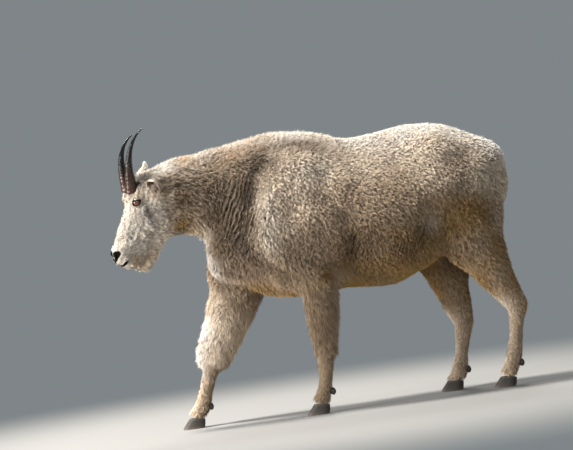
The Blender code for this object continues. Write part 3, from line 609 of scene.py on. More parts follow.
def eyeFrame(side):  # centre and axes of an eye: outward, along its slit, across it
    centre = np.array([eyeAlong, eyeAbove, eyeSide * side])
    outward = np.array([0.10, 0.22, 0.96 * side])
    outward /= np.linalg.norm(outward)
    slit = np.array([0.71, 0.70, 0.0])
    slit -= outward * (slit @ outward)
    slit /= np.linalg.norm(slit)
    return centre, outward, slit, np.cross(outward, slit) * side


def nearPath(places, path):  # distance to a bent line
    best = np.full(len(places), 9.0)
    for a, b in zip(path, path[1:]):
        a, b = np.array(a), np.array(b)
        t = np.clip((places - a) @ (b - a) / ((b - a) @ (b - a)), 0, 1)
        best = np.minimum(best, np.linalg.norm(places - a - t[:, None] * (b - a), axis=1))
    return best


def bothSides(h):  # the same places on the goat's right side
    return np.stack([h[:, 0], h[:, 1], np.abs(h[:, 2])], axis=1)


def sculptHead(thing):
    mesh = thing.data
    h = toHead(pointsOf(mesh))
    normals = (normalsOf(mesh) @ np.array(levelTurn)) @ np.array(headMatrix)
    near = (h[:, 0] > -0.03) & (h[:, 0] < 0.36) & isHead(toLevel(pointsOf(mesh)))
    m = bothSides(h)
    along, above, across = m.T
    push = np.zeros(len(h))
    for centre, radii, height in faceSwells:
        gap = (m - np.array(centre)) / np.array(radii)
        push += height * np.exp(-(gap ** 2).sum(axis=1) * 1.4)
    front = smoothStep(0.0, 0.012, above)  # the nose bridge and forehead are flatter than the frame's
    push -= 0.0045 * np.exp(-(across / 0.036) ** 2) * front * smoothStep(0.05, 0.08, along)
    push -= 0.010 * np.exp(-(across / 0.042) ** 2) * front * smoothStep(0.030, 0.045, along) \
        * (1 - smoothStep(0.052, 0.078, along))
    for path, width, height in faceStrokes:
        push += headDetail["strokeGain"] * height * np.exp(-(nearPath(m, path) / width) ** 2)
    # the nostril: a slanted comma, deepest at its front
    gap = m - np.array(headDetail["nostril"])
    n = nostrilShape
    lengthways = gap @ np.array(n["lengthways"])
    crossways = gap @ np.array(n["crossways"]) + n["slant"] * lengthways
    hole = ((lengthways / n["hole"][0]) ** 2 + (crossways / n["hole"][1]) ** 2) ** 1.4
    push -= np.exp(-hole) * (gap[:, 0] > -0.02) * n["depth"]
    rim = np.sqrt((lengthways / n["rim"][0]) ** 2 + (crossways / n["rim"][1]) ** 2) - 1.0
    push += np.exp(-(rim / n["rimWidth"]) ** 2) * n["rimHeight"]
    mouth = nearPath(m, headDetail["mouth"])
    push -= mouthShape["depth"] * np.exp(-(mouth / mouthShape["width"]) ** 2)
    push += mouthShape["lipHeight"] * np.exp(-((mouth - mouthShape["lipAt"]) / mouthShape["lipWidth"]) ** 2)
    # a fine rumple keeps the skin from looking cast
    push += (0.0010 * wavyNoise(h, 0.020, 4) + 0.0005 * wavyNoise(h, 0.010, 5)) * (h[:, 0] > 0.02)
    h[near] += (normals * push[:, None])[near]
    # skin that would cover the eyeball sinks behind it, and a lid closes round it afterwards
    halfLong, halfHigh = (size + 0.004 for size in headDetail["eyeOpening"])
    for side in (-1, 1):
        centre, outward, slit, crosswise = eyeFrame(side)
        d = h - centre
        reach = np.sqrt((d @ slit / halfLong) ** 2 + (d @ crosswise / halfHigh) ** 2)
        cover = near & (reach < 1.0) & (d @ outward > 0)
        ways = d[cover] / np.linalg.norm(d[cover], axis=1)[:, None]
        h[cover] = centre + ways * (headDetail["eyeRadius"] - 0.004)
    places = pointsOf(mesh)
    places[near] = fromHead(h)[near]
    writePoints(mesh, places)


def chooseNear(thing, test):  # which vertices of the head pass the test
    places = pointsOf(thing.data)
    return test(bothSides(toHead(places))) & isHead(toLevel(places))


def fromPoint(m, point):
    return np.linalg.norm(m - np.array(point), axis=1)


eyeMiddle = (eyeAlong, eyeAbove, 0.055)  # on the skin, in front of the eyeball


refine(skin, chooseNear(skin, lambda h: (h[:, 0] > 0.0) & (h[:, 0] < 0.34)))
refine(skin, chooseNear(skin, lambda h: (fromPoint(h, eyeMiddle) < 0.030)
                        | (nearPath(h, headDetail["mouth"]) < 0.011)
                        | (fromPoint(h, headDetail["nostril"]) < 0.022)))
sculptHead(skin)


# The body: hollows and ridges under the wool, as strokes of the side view on both sides
bodyStrokes = {  # points along (x, z), half width, height
    "neckHollow": (((-0.090, 0.885), (-0.140, 0.79), (-0.168, 0.70), (-0.165, 0.62)), 0.034, -0.015),
    "shoulderEdge": (((-0.050, 0.86), (-0.068, 0.77), (-0.066, 0.68), (-0.062, 0.60)), 0.032, 0.006),
    "shoulderSlope": (((-0.118, 0.78), (-0.126, 0.68), (-0.120, 0.60)), 0.022, -0.010),
    "behindWithers": (((0.135, 0.905), (0.160, 0.850), (0.170, 0.800)), 0.048, 0.012),
    "bladeTop": (((-0.015, 0.880), (0.020, 0.905), (0.050, 0.895)), 0.032, 0.006),
    "behindBlade": (((0.145, 0.74), (0.170, 0.67)), 0.026, -0.005),
    "behindElbow": (((0.195, 0.70), (0.210, 0.62), (0.215, 0.53)), 0.036, -0.014),
    "upperArm": (((0.050, 0.69), (0.085, 0.60), (0.115, 0.51)), 0.034, 0.007),
    "armFold": (((-0.160, 0.605), (-0.080, 0.548), (-0.010, 0.506)), 0.017, -0.012),
    "breastRidge": (((-0.160, 0.565), (-0.100, 0.520), (-0.030, 0.476)), 0.017, 0.007),
    "stifleFold": (((0.480, 0.72), (0.460, 0.64), (0.440, 0.57)), 0.026, -0.010),
    "thighFront": (((0.540, 0.76), (0.530, 0.66)), 0.034, 0.006),
    "loinHollow": (((0.380, 0.885), (0.430, 0.87)), 0.045, -0.008),
    "hipPoint": (((0.495, 0.945), (0.520, 0.935)), 0.026, 0.005),
    "thighBack": (((0.700, 0.80), (0.690, 0.70)), 0.026, -0.006),
}


foldPatches = (  # middle (x, z), reach (x, z), strength: upright folds where the skin gathers
    (-0.168, 0.70, 0.052, 0.120, 1.15), (-0.225, 0.72, 0.050, 0.10, 0.5), (0.230, 0.605, 0.050, 0.060, 0.7),
    (-0.085, 0.67, 0.026, 0.060, 0.25), (0.455, 0.65, 0.030, 0.065, 0.6), (0.390, 0.59, 0.035, 0.035, 0.45),
)


def foldStrength(level):
    x, y, z = level.T
    strength = np.zeros(len(level))
    for cx, cz, rx, rz, amount in foldPatches:
        strength += amount * np.exp(-((x - cx) / rx) ** 2 - ((z - cz) / rz) ** 2)
    strength *= smoothStep(0.02, 0.06, np.abs(y - neckLine(x)))
    return np.where(isHead(level), 0, np.minimum(strength, 1.0))


foldSettings = dict(lean=16.0, apart=0.0138, depth=0.0090,  # waves: height, length, seed
                    waves=((0.0042, 0.075, 31), (0.0022, 0.030, 32), (0.0008, 0.014, 33)))


def foldValley(level):  # 1 along the dark line between two folds, 0 on their crests
    lean = math.radians(foldSettings["lean"])
    across = level[:, 0] * math.cos(lean) - level[:, 2] * math.sin(lean)
    for height, length, seed in foldSettings["waves"]:
        across = across + height * wavyNoise(level, length, seed)
    return np.clip(np.sin(across * 2 * math.pi / foldSettings["apart"]) * 2.8 - 0.30, 0.0, 1.0)


def sculptBody(thing):
    mesh = thing.data
    places, normals = pointsOf(mesh), normalsOf(mesh)
    level = toLevel(places)
    side = np.stack([level[:, 0], np.zeros(len(level)), level[:, 2]], axis=1)
    push = np.zeros(len(places))
    for path, width, height in bodyStrokes.values():
        line = [(x, 0.0, z) for x, z in path]
        push += height * np.exp(-(nearPath(side, line) / width) ** 2)
    outward = np.abs(level[:, 1] - neckLine(level[:, 0]))
    push *= smoothStep(0.03, 0.08, outward) * ~isHead(level)
    push += 0.0016 * wavyNoise(places, 0.10, 21) * ~isHead(level)
    push -= foldSettings["depth"] * foldValley(level) * foldStrength(level)
    writePoints(mesh, places + normals * push[:, None])


def easeAround(thing, centre, reach, rounds):  # softens a step between two parts
    mesh = thing.data
    places = pointsOf(mesh)
    edges = np.empty(len(mesh.edges) * 2, np.int64)
    mesh.edges.foreach_get("vertices", edges)
    a, b = edges.reshape(-1, 2).T
    count = np.bincount(np.concatenate([a, b]), minlength=len(places))[:, None] + 1e-9
    gap = np.linalg.norm(toLevel(places) - np.array(centre), axis=1)
    weight = 0.6 * (1 - smoothStep(0.5 * reach, reach, gap))[:, None]
    for _ in range(rounds):
        total = np.zeros_like(places)
        for axis, value in enumerate(places.T):
            total[:, axis] = np.bincount(a, value[b], len(places)) + np.bincount(b, value[a], len(places))
        places += (total / count - places) * weight
    writePoints(mesh, places)


easeAround(skin, (-0.215, 0.055, 0.455), 0.095, 60)
easeAround(skin, (0.03, -0.07, 0.47), 0.07, 30)
for side in (-1, 1):
    easeAround(skin, (0.105, 0.13 * side, 0.850), 0.115, 60)
    easeAround(skin, (-0.055, 0.16 * side, 0.690), 0.075, 40)
refine(skin, foldStrength(toLevel(pointsOf(skin.data))) > 0.22)
sculptBody(skin)
print("head sculpted:", len(skin.data.polygons), "faces")

# Lids: rings from the almond opening out to the skin
lidSettings = dict(around=56, rings=7, reach=1.95, lifts=(0.0001, 0.0013, 0.0026))


def makeLids(side, tree):
    centre, outward, slit, across = eyeFrame(side)
    radius = headDetail["eyeRadius"]
    halfLong, halfHigh = headDetail["eyeOpening"]
    rings, around = lidSettings["rings"], lidSettings["around"]
    rows, darkness = [], []
    for ring in range(rings + 1):
        t = ring / rings
        grow = 1.0 + (lidSettings["reach"] - 1.0) * t ** 1.15
        for k in range(around):
            angle = 2 * math.pi * k / around
            ca, sa = math.cos(angle), math.sin(angle)
            tear = 1.0 + 0.16 * max(ca, 0.0) ** 4 * (1 - t)  # the corner towards the nose runs out to a point
            a = halfLong * ca * grow * tear
            b = halfHigh * math.copysign(abs(sa) ** (1.5 - 0.5 * t), sa) * (1 + (grow - 1) * 1.25)
            flat = math.hypot(a, b)
            tilt = flat / radius
            way = outward * math.cos(tilt) + (slit * a + across * b) / max(flat, 1e-6) * math.sin(tilt)
            place = centre + way * (radius + lidSettings["lifts"][min(ring, 2)])
            if ring >= 3:
                onSkin = fromHead(np.array([centre + way * (radius + 0.004)]))[0]
                hit, normal, _, _ = tree.find_nearest(Vector(onSkin))
                settled = toHead(np.array([hit - normal * (0.0006 if ring < rings else 0.003)]))[0]
                ease = smoothStep(2.0, rings - 1.0, ring)
                place = place * (1 - ease) + settled * ease
            rows.append(place)
            darkness.append(float(1 - smoothStep(2.0, 4.6, ring)))
    faces = gridFaces(rings + 1, around, closed=False)
    if side < 0:
        faces = [face[::-1] for face in faces]
    return fromHead(np.array(rows)), faces, [("lid", dark, 0.0, (0.0, 0.0, 1.0)) for dark in darkness]


# Ears: a leaf with a hollow front, furred on both sides
earSettings = {  # root, way of the ear and of its hollow, on the head's axes, and its share of the full width
    -1: dict(base=(0.030, -0.055, 0.044), way=(-0.05, -0.93, 0.34), opening=(-0.574, -0.263, -0.771),
             share=1.0),
    1: dict(base=(0.005, -0.020, 0.046), way=(0.35, 0.78, 0.57), opening=(-0.85, 0.20, 0.26),
            share=0.72),
}
earSize = dict(length=0.103, width=0.048, wall=0.0046, steps=26, cuts=18, curl=1.75, curlLoss=0.85,
               hollow=0.0135, leastHollow=0.0015, bow=0.012, leastWidth=0.0012)


def makeEar(side):
    e = earSettings[side]
    along = Vector(e["way"]).normalized()
    front = Vector(e["opening"])
    front = (front - along * front.dot(along)).normalized()
    across = along.cross(front)
    start = Vector(pose["poll"]) + headMatrix @ Vector((e["base"][0], e["base"][1], e["base"][2] * side))
    steps, cuts = earSize["steps"], earSize["cuts"]
    outer, inner = [], []
    for i in range(steps + 1):
        u = i / steps
        belly = 0.62 + 0.55 * math.sin(math.pi * min(u * 1.25, 1.0) * 0.62)
        width = earSize["width"] / 2 * e["share"] * belly * (1 - u ** 3.4) ** 0.7 + earSize["leastWidth"]
        curl = earSize["curl"] - earSize["curlLoss"] * u  # how far round the leaf wraps
        deep = earSize["hollow"] * (1 - u) ** 0.8 + earSize["leastHollow"]
        bow = earSize["bow"] * math.sin(math.pi * u) - 0.002
        centre = start + along * (earSize["length"] * u) - front * bow
        for k in range(cuts + 1):
            v = k / cuts * 2 - 1
            turn = v * curl
            aside = math.sin(turn) / math.sin(min(curl, math.pi / 2)) * width
            rise = (1 - math.cos(turn)) / (1 - math.cos(curl)) * (0.55 * width + deep) - deep
            normal = (across * math.sin(turn) - front * math.cos(turn)).normalized()
            point = centre + across * aside + front * rise
            wall = earSize["wall"] * (1 - 0.6 * abs(v)) * (1 - 0.5 * u)
            outer.append(point + normal * wall * 0.5)
            inner.append(point - normal * wall * 0.5)
    wide = cuts + 1
    total = (steps + 1) * wide
    points = [turnLevel(point) + originShift for point in outer + inner]
    lie = tuple(levelTurn @ along)
    rows = [("ear", float(layer), k // wide / steps, lie) for layer in (0, 1) for k in range(total)]
    faces = []
    for i in range(steps):
        for k in range(cuts):
            a, b = i * wide + k, i * wide + k + 1
            c, d = b + wide, a + wide
            faces.append((a, b, c, d))
            faces.append((a + total, d + total, c + total, b + total))
    rim = [i * wide for i in range(steps + 1)] + [steps * wide + k for k in range(1, wide)] + \
        [i * wide + cuts for i in range(steps - 1, -1, -1)]
    for p, q in zip(rim, rim[1:]):
        faces.append((p, q, q + total, p + total))
    for k in range(cuts):  # closes the hidden root
        faces.append((k + 1, k, k + total, k + 1 + total))
    return points, faces, rows


skin.data.update()
surface = BVHTree.FromPolygons([v.co for v in skin.data.vertices],
                               [list(p.vertices) for p in skin.data.polygons])
extraPoints, extraFaces, extraRows = [], [], []  # rows: kind, darkness or inner side, place along, lie
for side in (-1, 1):
    for points, faces, rows in (makeLids(side, surface), makeEar(side)):
        base = len(extraPoints)
        extraPoints += [tuple(p) for p in points]
        extraFaces += [tuple(i + base for i in f) for f in faces]
        extraRows += rows


def joinExtras(thing):  # lids and ears become part of the one skin
    shape = openShape(thing)
    start = len(shape.verts)
    made = [shape.verts.new(p) for p in extraPoints]
    faces = [shape.faces.new([made[i] for i in f]) for f in extraFaces]
    bmesh.ops.recalc_face_normals(shape, faces=faces)
    closeShape(shape, thing)
    thing.data.shade_smooth()
    return start


extraStart = joinExtras(skin)
print("lids and ears joined")


# Materials
def material(name, roughness, specular=None):
    made = bpy.data.materials.new(name)
    made.use_nodes = True
    shader = made.node_tree.nodes["Principled BSDF"]
    shader.inputs["Roughness"].default_value = roughness
    if specular is not None:
        shader.inputs["Specular IOR Level"].default_value = specular
    return made, made.node_tree.nodes, made.node_tree.links, shader


def attributeNode(nodes, name):
    node = nodes.new("ShaderNodeAttribute")
    node.attribute_name = name
    return node.outputs


def partsOf(nodes, links, vector):
    node = nodes.new("ShaderNodeSeparateXYZ")
    links.new(vector, node.inputs[0])
    return node.outputs


def bandNode(nodes, links, value, low, high, least, most):  # maps low to high onto least to most
    node = nodes.new("ShaderNodeMapRange")
    for name, number in (("From Min", low), ("From Max", high), ("To Min", least), ("To Max", most)):
        node.inputs[name].default_value = number
    links.new(value, node.inputs["Value"])
    return node


def mathsNode(nodes, links, operation, a, b=None):
    node = nodes.new("ShaderNodeMath")
    node.operation = operation
    for value, socket in zip((a, b), node.inputs):
        if isinstance(value, float):
            socket.default_value = value
        elif value is not None:
            links.new(value, socket)
    return node.outputs[0]


def mixNode(nodes, links, factor, first, second, blend="MIX"):
    node = nodes.new("ShaderNodeMix")
    node.data_type, node.blend_type = "RGBA", blend
    for value, name in ((factor, "Factor"), (first, "A"), (second, "B")):
        if isinstance(value, (int, float)):
            node.inputs[name].default_value = value
        elif isinstance(value, tuple):
            node.inputs[name].default_value = (*value, 1.0)
        else:
            links.new(value, node.inputs[name])
    return node.outputs["Result"]


def rampNode(nodes, links, value, stops):
    node = nodes.new("ShaderNodeValToRGB")
    ramp = node.color_ramp
    while len(ramp.elements) < len(stops):
        ramp.elements.new(0.5)
    for element, (place, colour) in zip(ramp.elements, stops):
        element.position = place
        element.color = (*colour, 1.0) if isinstance(colour, tuple) else (colour, colour, colour, 1.0)
    links.new(value, node.inputs["Fac"])
    return node.outputs["Color"]


def noiseNode(nodes, links, vector, scale, detail=3.0, stretch=None):
    if stretch:
        spread = nodes.new("ShaderNodeVectorMath")
        spread.operation = "MULTIPLY"
        spread.inputs[1].default_value = stretch
        links.new(vector, spread.inputs[0])
        vector = spread.outputs[0]
    node = nodes.new("ShaderNodeTexNoise")
    node.inputs["Scale"].default_value = scale
    node.inputs["Detail"].default_value = detail
    links.new(vector, node.inputs["Vector"])
    return node.outputs["Fac"]


def bumpNode(nodes, links, height, distance, shader, strength=1.0):
    node = nodes.new("ShaderNodeBump")
    node.inputs["Distance"].default_value = distance
    node.inputs["Strength"].default_value = strength
    links.new(height, node.inputs["Height"])
    links.new(node.outputs["Normal"], shader.inputs["Normal"])


def underWoolMaterial():
    made, nodes, links, shader = material("underWool", 0.85, 0.03)
    grain = noiseNode(nodes, links, nodes.new("ShaderNodeTexCoord").outputs["Object"], 1 / 0.006, 4.0)
    band = bandNode(nodes, links, grain, 0.3, 0.7, 0.6, 1.0).outputs["Result"]
    tone = mixNode(nodes, links, 0.5, attributeNode(nodes, "skinTone")["Color"], band, "MULTIPLY")
    links.new(tone, shader.inputs["Base Color"])
    bumpNode(nodes, links, grain, 0.002, shader)
    return made


# What each place of the skin carries: lie, depth, hair length, tone and where hair may grow
flowAngles = dict(x=(-0.46, -0.22, -0.08, 0.05, 0.22, 0.70, 0.80), degrees=(25, 30, 60, 62, 42, 38, 66))


def flowPlaces(level, h, head):  # places measured across the flow of the wool, and slowly along it
    x, y, z = level.T
    xs = np.linspace(-0.7, 1.0, 341)
    slope = np.tan(np.radians(np.interp(xs, flowAngles["x"], flowAngles["degrees"])))
    fallen = np.concatenate([[0], np.cumsum((slope[1:] + slope[:-1]) / 2 * np.diff(xs))])
    across = (z + np.interp(x, xs, fallen)) * 0.8
    out = np.stack([across, 0.36 * (0.8 * x - 0.6 * z), 0.7 * y], axis=1)
    legs = z < 0.55
    out[legs] = np.stack([x, 0.36 * z, y], axis=1)[legs]
    out[head] = (h * np.array([0.7, 1.0, 1.0]))[head]
    return out


headMarks = (  # middle, reach, strength and tone of the marks of the face
    ((0.006, 0.010, 0.030), (0.036, 0.034, 0.030), 1.0, "dark"),  # behind the horn
    ((-0.004, -0.020, 0.038), (0.024, 0.026, 0.024), 0.85, "slate"),
    ((0.020, 0.012, 0.000), (0.026, 0.024, 0.019), 0.95, "slate"),  # between the horns
    ((-0.006, -0.072, 0.074), (0.034, 0.030, 0.034), 0.9, "slate"),  # behind the ear
    ((0.032, -0.078, 0.080), (0.030, 0.024, 0.034), 0.85, "brown"),
    ((0.050, -0.045, 0.056), (0.016, 0.022, 0.020), 0.45, "warm"),
    # painted shade under the ear
    ((0.031, -0.042, 0.067), (0.018, 0.016, 0.024), 1.0, "brown"),
    # Painted shade on the cheek, the jaw and the back of the face.
    ((0.116, -0.062, 0.055), (0.052, 0.044, 0.034), 1.0, "ash"),  # the shaded cheek
    ((0.078, -0.104, 0.062), (0.038, 0.034, 0.036), 0.95, "ash"),
    ((0.165, -0.108, 0.055), (0.030, 0.030, 0.034), 0.70, "ash"),
    ((0.098, 0.002, 0.058), (0.010, 0.008, 0.020), 0.45, "shade"),
    ((0.245, -0.010, 0.032), (0.024, 0.016, 0.020), 0.20, "side"),  # whisker pad
    # Painted highlights on the lower cheek, the jaw and the chin.
    ((0.236, -0.070, 0.026), (0.016, 0.012, 0.020), 0.80, "white"),
    ((0.223, -0.022, 0.034), (0.018, 0.011, 0.020), 0.60, "white"),
    ((0.283, -0.106, 0.020), (0.022, 0.009, 0.020), 0.80, "white"),
    ((0.150, -0.060, 0.046), (0.026, 0.011, 0.020), 0.50, "white"),
)
bodyShadeAndLightMarks = (  # the same for the neck and body, with y outward from their middle
    # These marks paint light and shade: the grey, brown, umber and shade marks darken hollows, creases, the
    # lower body and the neck where shade falls, and the ivory, cream, white and side marks lighten the
    # shoulder, hip, flank, crest and nape where light falls. The amber under the belly is partly the coat's
    # own golden colour and partly painted shade.
    ((-0.450, 0.035, 0.862), (0.042, 0.050, 0.022), 0.85, "white"),
    ((-0.350, 0.050, 0.868), (0.060, 0.040, 0.024), 0.85, "cream"),
    ((-0.330, 0.085, 0.835), (0.060, 0.050, 0.025), 0.50, "side"),
    ((-0.425, 0.075, 0.800), (0.040, 0.050, 0.036), 0.75, "grey"),
    ((-0.400, 0.080, 0.715), (0.038, 0.060, 0.034), 0.70, "brown"),
    ((-0.250, 0.090, 0.795), (0.055, 0.050, 0.030), 0.55, "side"),
    ((-0.235, 0.070, 0.610), (0.030, 0.060, 0.030), 0.50, "side"),
    ((-0.150, 0.100, 0.510), (0.060, 0.070, 0.040), 0.75, "brown"),
    ((0.015, 0.130, 0.490), (0.056, 0.090, 0.045), 0.80, "brown"),
    ((-0.215, 0.085, 0.495), (0.045, 0.070, 0.045), 0.70, "brown"),
    ((-0.200, 0.075, 0.878), (0.060, 0.040, 0.022), 0.50, "brown"),
    ((-0.115, 0.095, 0.884), (0.078, 0.080, 0.042), 0.92, "umber"),
    ((-0.130, 0.115, 0.790), (0.036, 0.060, 0.050), 0.50, "grey"),
    ((-0.105, 0.060, 0.928), (0.055, 0.035, 0.018), 0.70, "shade"),
    ((0.030, 0.072, 0.934), (0.120, 0.080, 0.026), 0.90, "umber"),
    ((-0.075, 0.145, 0.680), (0.034, 0.070, 0.100), 0.95, "ivory"),
    ((0.070, 0.150, 0.855), (0.070, 0.070, 0.034), 0.90, "ivory"),
    ((0.095, 0.170, 0.775), (0.036, 0.080, 0.075), 0.80, "grey"),
    ((0.025, 0.175, 0.585), (0.070, 0.070, 0.070), 0.65, "grey"),
    ((0.290, 0.200, 0.690), (0.120, 0.090, 0.060), 0.50, "shade"),
    ((0.250, 0.180, 0.585), (0.190, 0.110, 0.060), 0.75, "grey"),
    ((0.485, 0.180, 0.685), (0.045, 0.080, 0.050), 0.70, "cream"),
    ((0.590, 0.140, 0.860), (0.042, 0.090, 0.080), 0.90, "grey"),
    ((0.520, 0.130, 0.870), (0.050, 0.090, 0.050), 0.45, "shade"),
    ((0.320, 0.170, 0.520), (0.170, 0.120, 0.048), 0.80, "amber"),
    ((0.570, 0.175, 0.590), (0.065, 0.090, 0.050), 0.75, "brown"),
    ((0.725, 0.120, 0.690), (0.032, 0.080, 0.055), 0.60, "cream"),
    ((0.130, 0.150, 0.455), (0.040, 0.060, 0.030), 0.50, "side"),
)


def noseAmount(m):  # the bare black skin round the nostrils and down the middle of the nose
    patch = 1 - smoothStep(0.0088, 0.0102, nearPath(m, headDetail["nosePatch"]))
    patch = np.maximum(patch, 1 - smoothStep(0.007, 0.009, fromPoint(m, (0.281, 0.016, 0.019))))
    band = (1 - smoothStep(0.009, 0.013, m[:, 2])) * smoothStep(0.288, 0.294, m[:, 0]) \
        * smoothStep(-0.018, -0.010, m[:, 1])
    return np.maximum(patch, band)


def hairGaps(m, head):  # hair parts round the eyes, horn roots, nose and mouth
    keep = np.where(head, smoothStep(0.0135, 0.019, fromPoint(m, eyeMiddle)), 1.0)
    hornAxis = np.array([-0.90, 0.44, 0.09])
    gap = m - np.array([0.047, 0.015, 0.0235])
    along = gap @ hornAxis
    aside = np.linalg.norm(gap - along[:, None] * hornAxis, axis=1)
    keep *= np.where(head & (along > -0.012), smoothStep(0.0215, 0.0245, aside), 1.0)
    nose = noseAmount(m) * head
    thick = 0.0018 + 0.0044 * smoothStep(0.276, 0.300, m[:, 0])
    lips = np.where(head, 1 - smoothStep(thick, thick + 0.0022, nearPath(m, headDetail["mouth"])), 0.0)
    return keep * (1 - smoothStep(0.15, 0.5, nose)) * (1 - lips), nose, lips


def blend(values, amount, name):  # paints a tone over colours, in place
    values[:] = values * (1 - amount[:, None]) + np.array(tones[name]) * amount[:, None]


# Paints the marks of the face and body, and the painted light and shade of the face's relief.
def paintMarksShadeAndLight(tone, places, m, outward, head):
    rough = wavyNoise(places, 0.035, 11) * 0.5 + wavyNoise(places, 0.013, 12) * 0.5
    for marks, source, where in ((headMarks, m, head), (bodyShadeAndLightMarks, outward, 1.0)):
        for centre, radii, amount, name in marks:
            gap = (source - np.array(centre)) / np.array(radii)
            spot = np.exp(-((gap ** 2).sum(axis=1)) ** 1.5)
            blend(tone, np.clip(spot * amount * (0.85 + 0.35 * rough), 0, 1) * where, name)
    # Painted shade in the face's hollows and painted light on its ridges, following the strokes that shape
    # them.
    reliefShading = np.zeros(len(m))  # the face's hollows are darker and its ridges a little lighter
    for path, width, height in faceStrokes:
        reliefShading += height / 0.005 * np.exp(-(nearPath(m, path) / width) ** 2)
    tone *= (1 + head * np.clip(reliefShading, -1, 1) * np.where(reliefShading < 0, 0.42, 0.16))[:, None]
    tone *= (1 + 0.06 * rough)[:, None]


def curlAmount(level, m, head, upward):  # how deep the cracks between curls go
    x, _, z = level.T
    curl = 0.56 - 0.18 * smoothStep(-0.10, 0.12, x)
    curl -= 0.18 * smoothStep(0.40, 0.62, x) * smoothStep(0.80, 0.90, z) + 0.22 * smoothStep(0.86, 0.96, z)
    curl -= 0.35 * (1 - smoothStep(0.47, 0.56, z))
    curl *= 1 - 0.8 * smoothStep(0.35, 0.80, upward)
    return np.where(head, 0.08 + 0.24 * smoothStep(-0.02, -0.05, m[:, 1]), np.clip(curl, 0.08, 0.56))


def markSkin(thing, start):
    mesh = thing.data
    places = pointsOf(mesh)
    lie, depth, length, lift, tone = coatField(places)
    level, h = toLevel(places), toHead(places)
    m = bothSides(h)
    head = isHead(level)
    keep, nose, lips = hairGaps(m, head)
    outward = level.copy()
    outward[:, 1] = np.abs(level[:, 1] - neckLine(level[:, 0]))
    paintMarksShadeAndLight(tone, places, m, outward, head)
    # The skin under the wool is dimmer than the coat: partly the wool's own darker base, partly painted shade
    # among the roots.
    under = tone * np.where(head, 0.60, 0.62)[:, None]  # the wool at the roots is dimmer
    blend(under, nose, "black")
    blend(under, lips, "black")
    black, cream, white, inner = (np.array(tones[name]) for name in ("black", "cream", "white", "inner"))
    for j, (kind, value, up, way) in enumerate(extraRows, start):
        if kind == "lid":
            keep[j] = 0
            under[j] = black * value + cream * 0.8 * (1 - value)
        else:
            lie[j] = way
            depth[j], length[j] = 0.0022, 0.009
            inside = value > 0.5
            under[j] = inner if inside else cream
            tone[j] = inner * 1.3 if inside else white
            keep[j] = (0.12 if inside else 1.0) * (1.0 if up > 0.08 else 0.3)
    fold, valley = foldStrength(level), foldValley(level)
    # Painted shade in the valleys between the folds.
    under *= (1 - 0.93 * fold * valley)[:, None]
    lie += np.array(bodyWay(-0.28, 0.0, -0.96)) * (np.minimum(fold, 1) * 3.0)[:, None]  # along the folds
    lie /= np.linalg.norm(lie, axis=1, keepdims=True) + 1e-9
    curl = curlAmount(level, m, head, normalsOf(mesh)[:, 2])
    for name, values in (("depth", depth), ("hairLength", length), ("lift", lift), ("fold", fold),
                         ("valley", valley), ("curl", curl), ("keep", keep)):
        writeAttribute(mesh, name, "FLOAT", values)
    for name, values in (("lie", lie), ("flowPlace", flowPlaces(level, h, head))):
        writeAttribute(mesh, name, "FLOAT_VECTOR", values)
    for name, values in (("tone", tone), ("skinTone", under)):
        writeAttribute(mesh, name, "FLOAT_COLOR", np.hstack([values, np.ones((len(values), 1))]))


# Pieces of coat: which faces of the skin each one grows on.
coatKinds = {  # spacing of tufts, spread of a tuft, kind of tuft
    "Face": (0.0030, 0.70, "short"), "Jowl": (0.0040, 0.55, "long"), "Mane": (0.0036, 0.80, "long"),
    "Neck": (0.0033, 0.60, "plush"), "Shoulder": (0.0034, 0.60, "plush"), "Ribs": (0.0034, 0.60, "plush"),
    "Rump": (0.0034, 0.60, "plush"), "Foreleg": (0.0042, 0.45, "long"), "Hindleg": (0.0035, 0.55, "plush"),
}
coatPieces = {"coat" + part + side: kind for part, kind in coatKinds.items() for side in ("Left", "Right")}
pieceOrder = list(coatPieces)


def sortFaces(thing):
    mesh = thing.data
    middles = threes(mesh.polygons, "center")
    level = toLevel(middles)
    head = isHead(level)
    x, y, z = level.T
    left = np.where(head | (x < -0.40), toHead(middles)[:, 2] < 0, y < neckLine(x, "seam"))
    upward = threes(mesh.polygons, "normal")[:, 2]
    fore = (z < 0.475) & (x < 0.23) & ~((x > -0.06) & (z > 0.455))
    fore &= (z < 0.43) | (x < -0.12) | ((x > -0.02) & (np.abs(y) > 0.05))
    hind = (z < 0.60) & (x > 0.48) & ((z < 0.53) | (x > 0.56))
    hair = np.empty(len(mesh.vertices))
    mesh.attributes["hairLength"].data.foreach_get("value", hair)
    firsts = np.array([p.vertices[0] for p in mesh.polygons])
    part = np.full(len(x), pieceOrder.index("coatRibsLeft"))
    for name, where in (("Shoulder", x < 0.155), ("Neck", x < -0.150), ("Rump", x > 0.435),
                        ("Mane", (upward > 0.60) & (x < 0.16) & (z > 0.84)),
                        ("Foreleg", fore), ("Hindleg", hind), ("Face", head),
                        ("Jowl", head & (hair[firsts] > 0.0165)), ("Face", firsts >= extraStart)):
        part[where] = pieceOrder.index("coat" + name + "Left")
    part += np.where(left, 0, 1)
    layer = mesh.attributes.new("part", "INT", "FACE")
    layer.data.foreach_set("value", part.astype(np.int32))


# Tufts: a few ribbons that gather to a tip, one unit long and one unit high
tuftShape = dict(count=8, joints=(0.0, 0.5, 1.0), taper=(0.8, 1.0))
tuftKinds = {
    "long": dict(blades=8, width=0.062, root=0.36, gather=0.15, sway=0.32),
    "plush": dict(blades=4, width=0.14, root=0.30, gather=0.40, sway=0.20),
    "short": dict(blades=5, width=0.15, root=0.34, gather=0.3, sway=0.2),
}


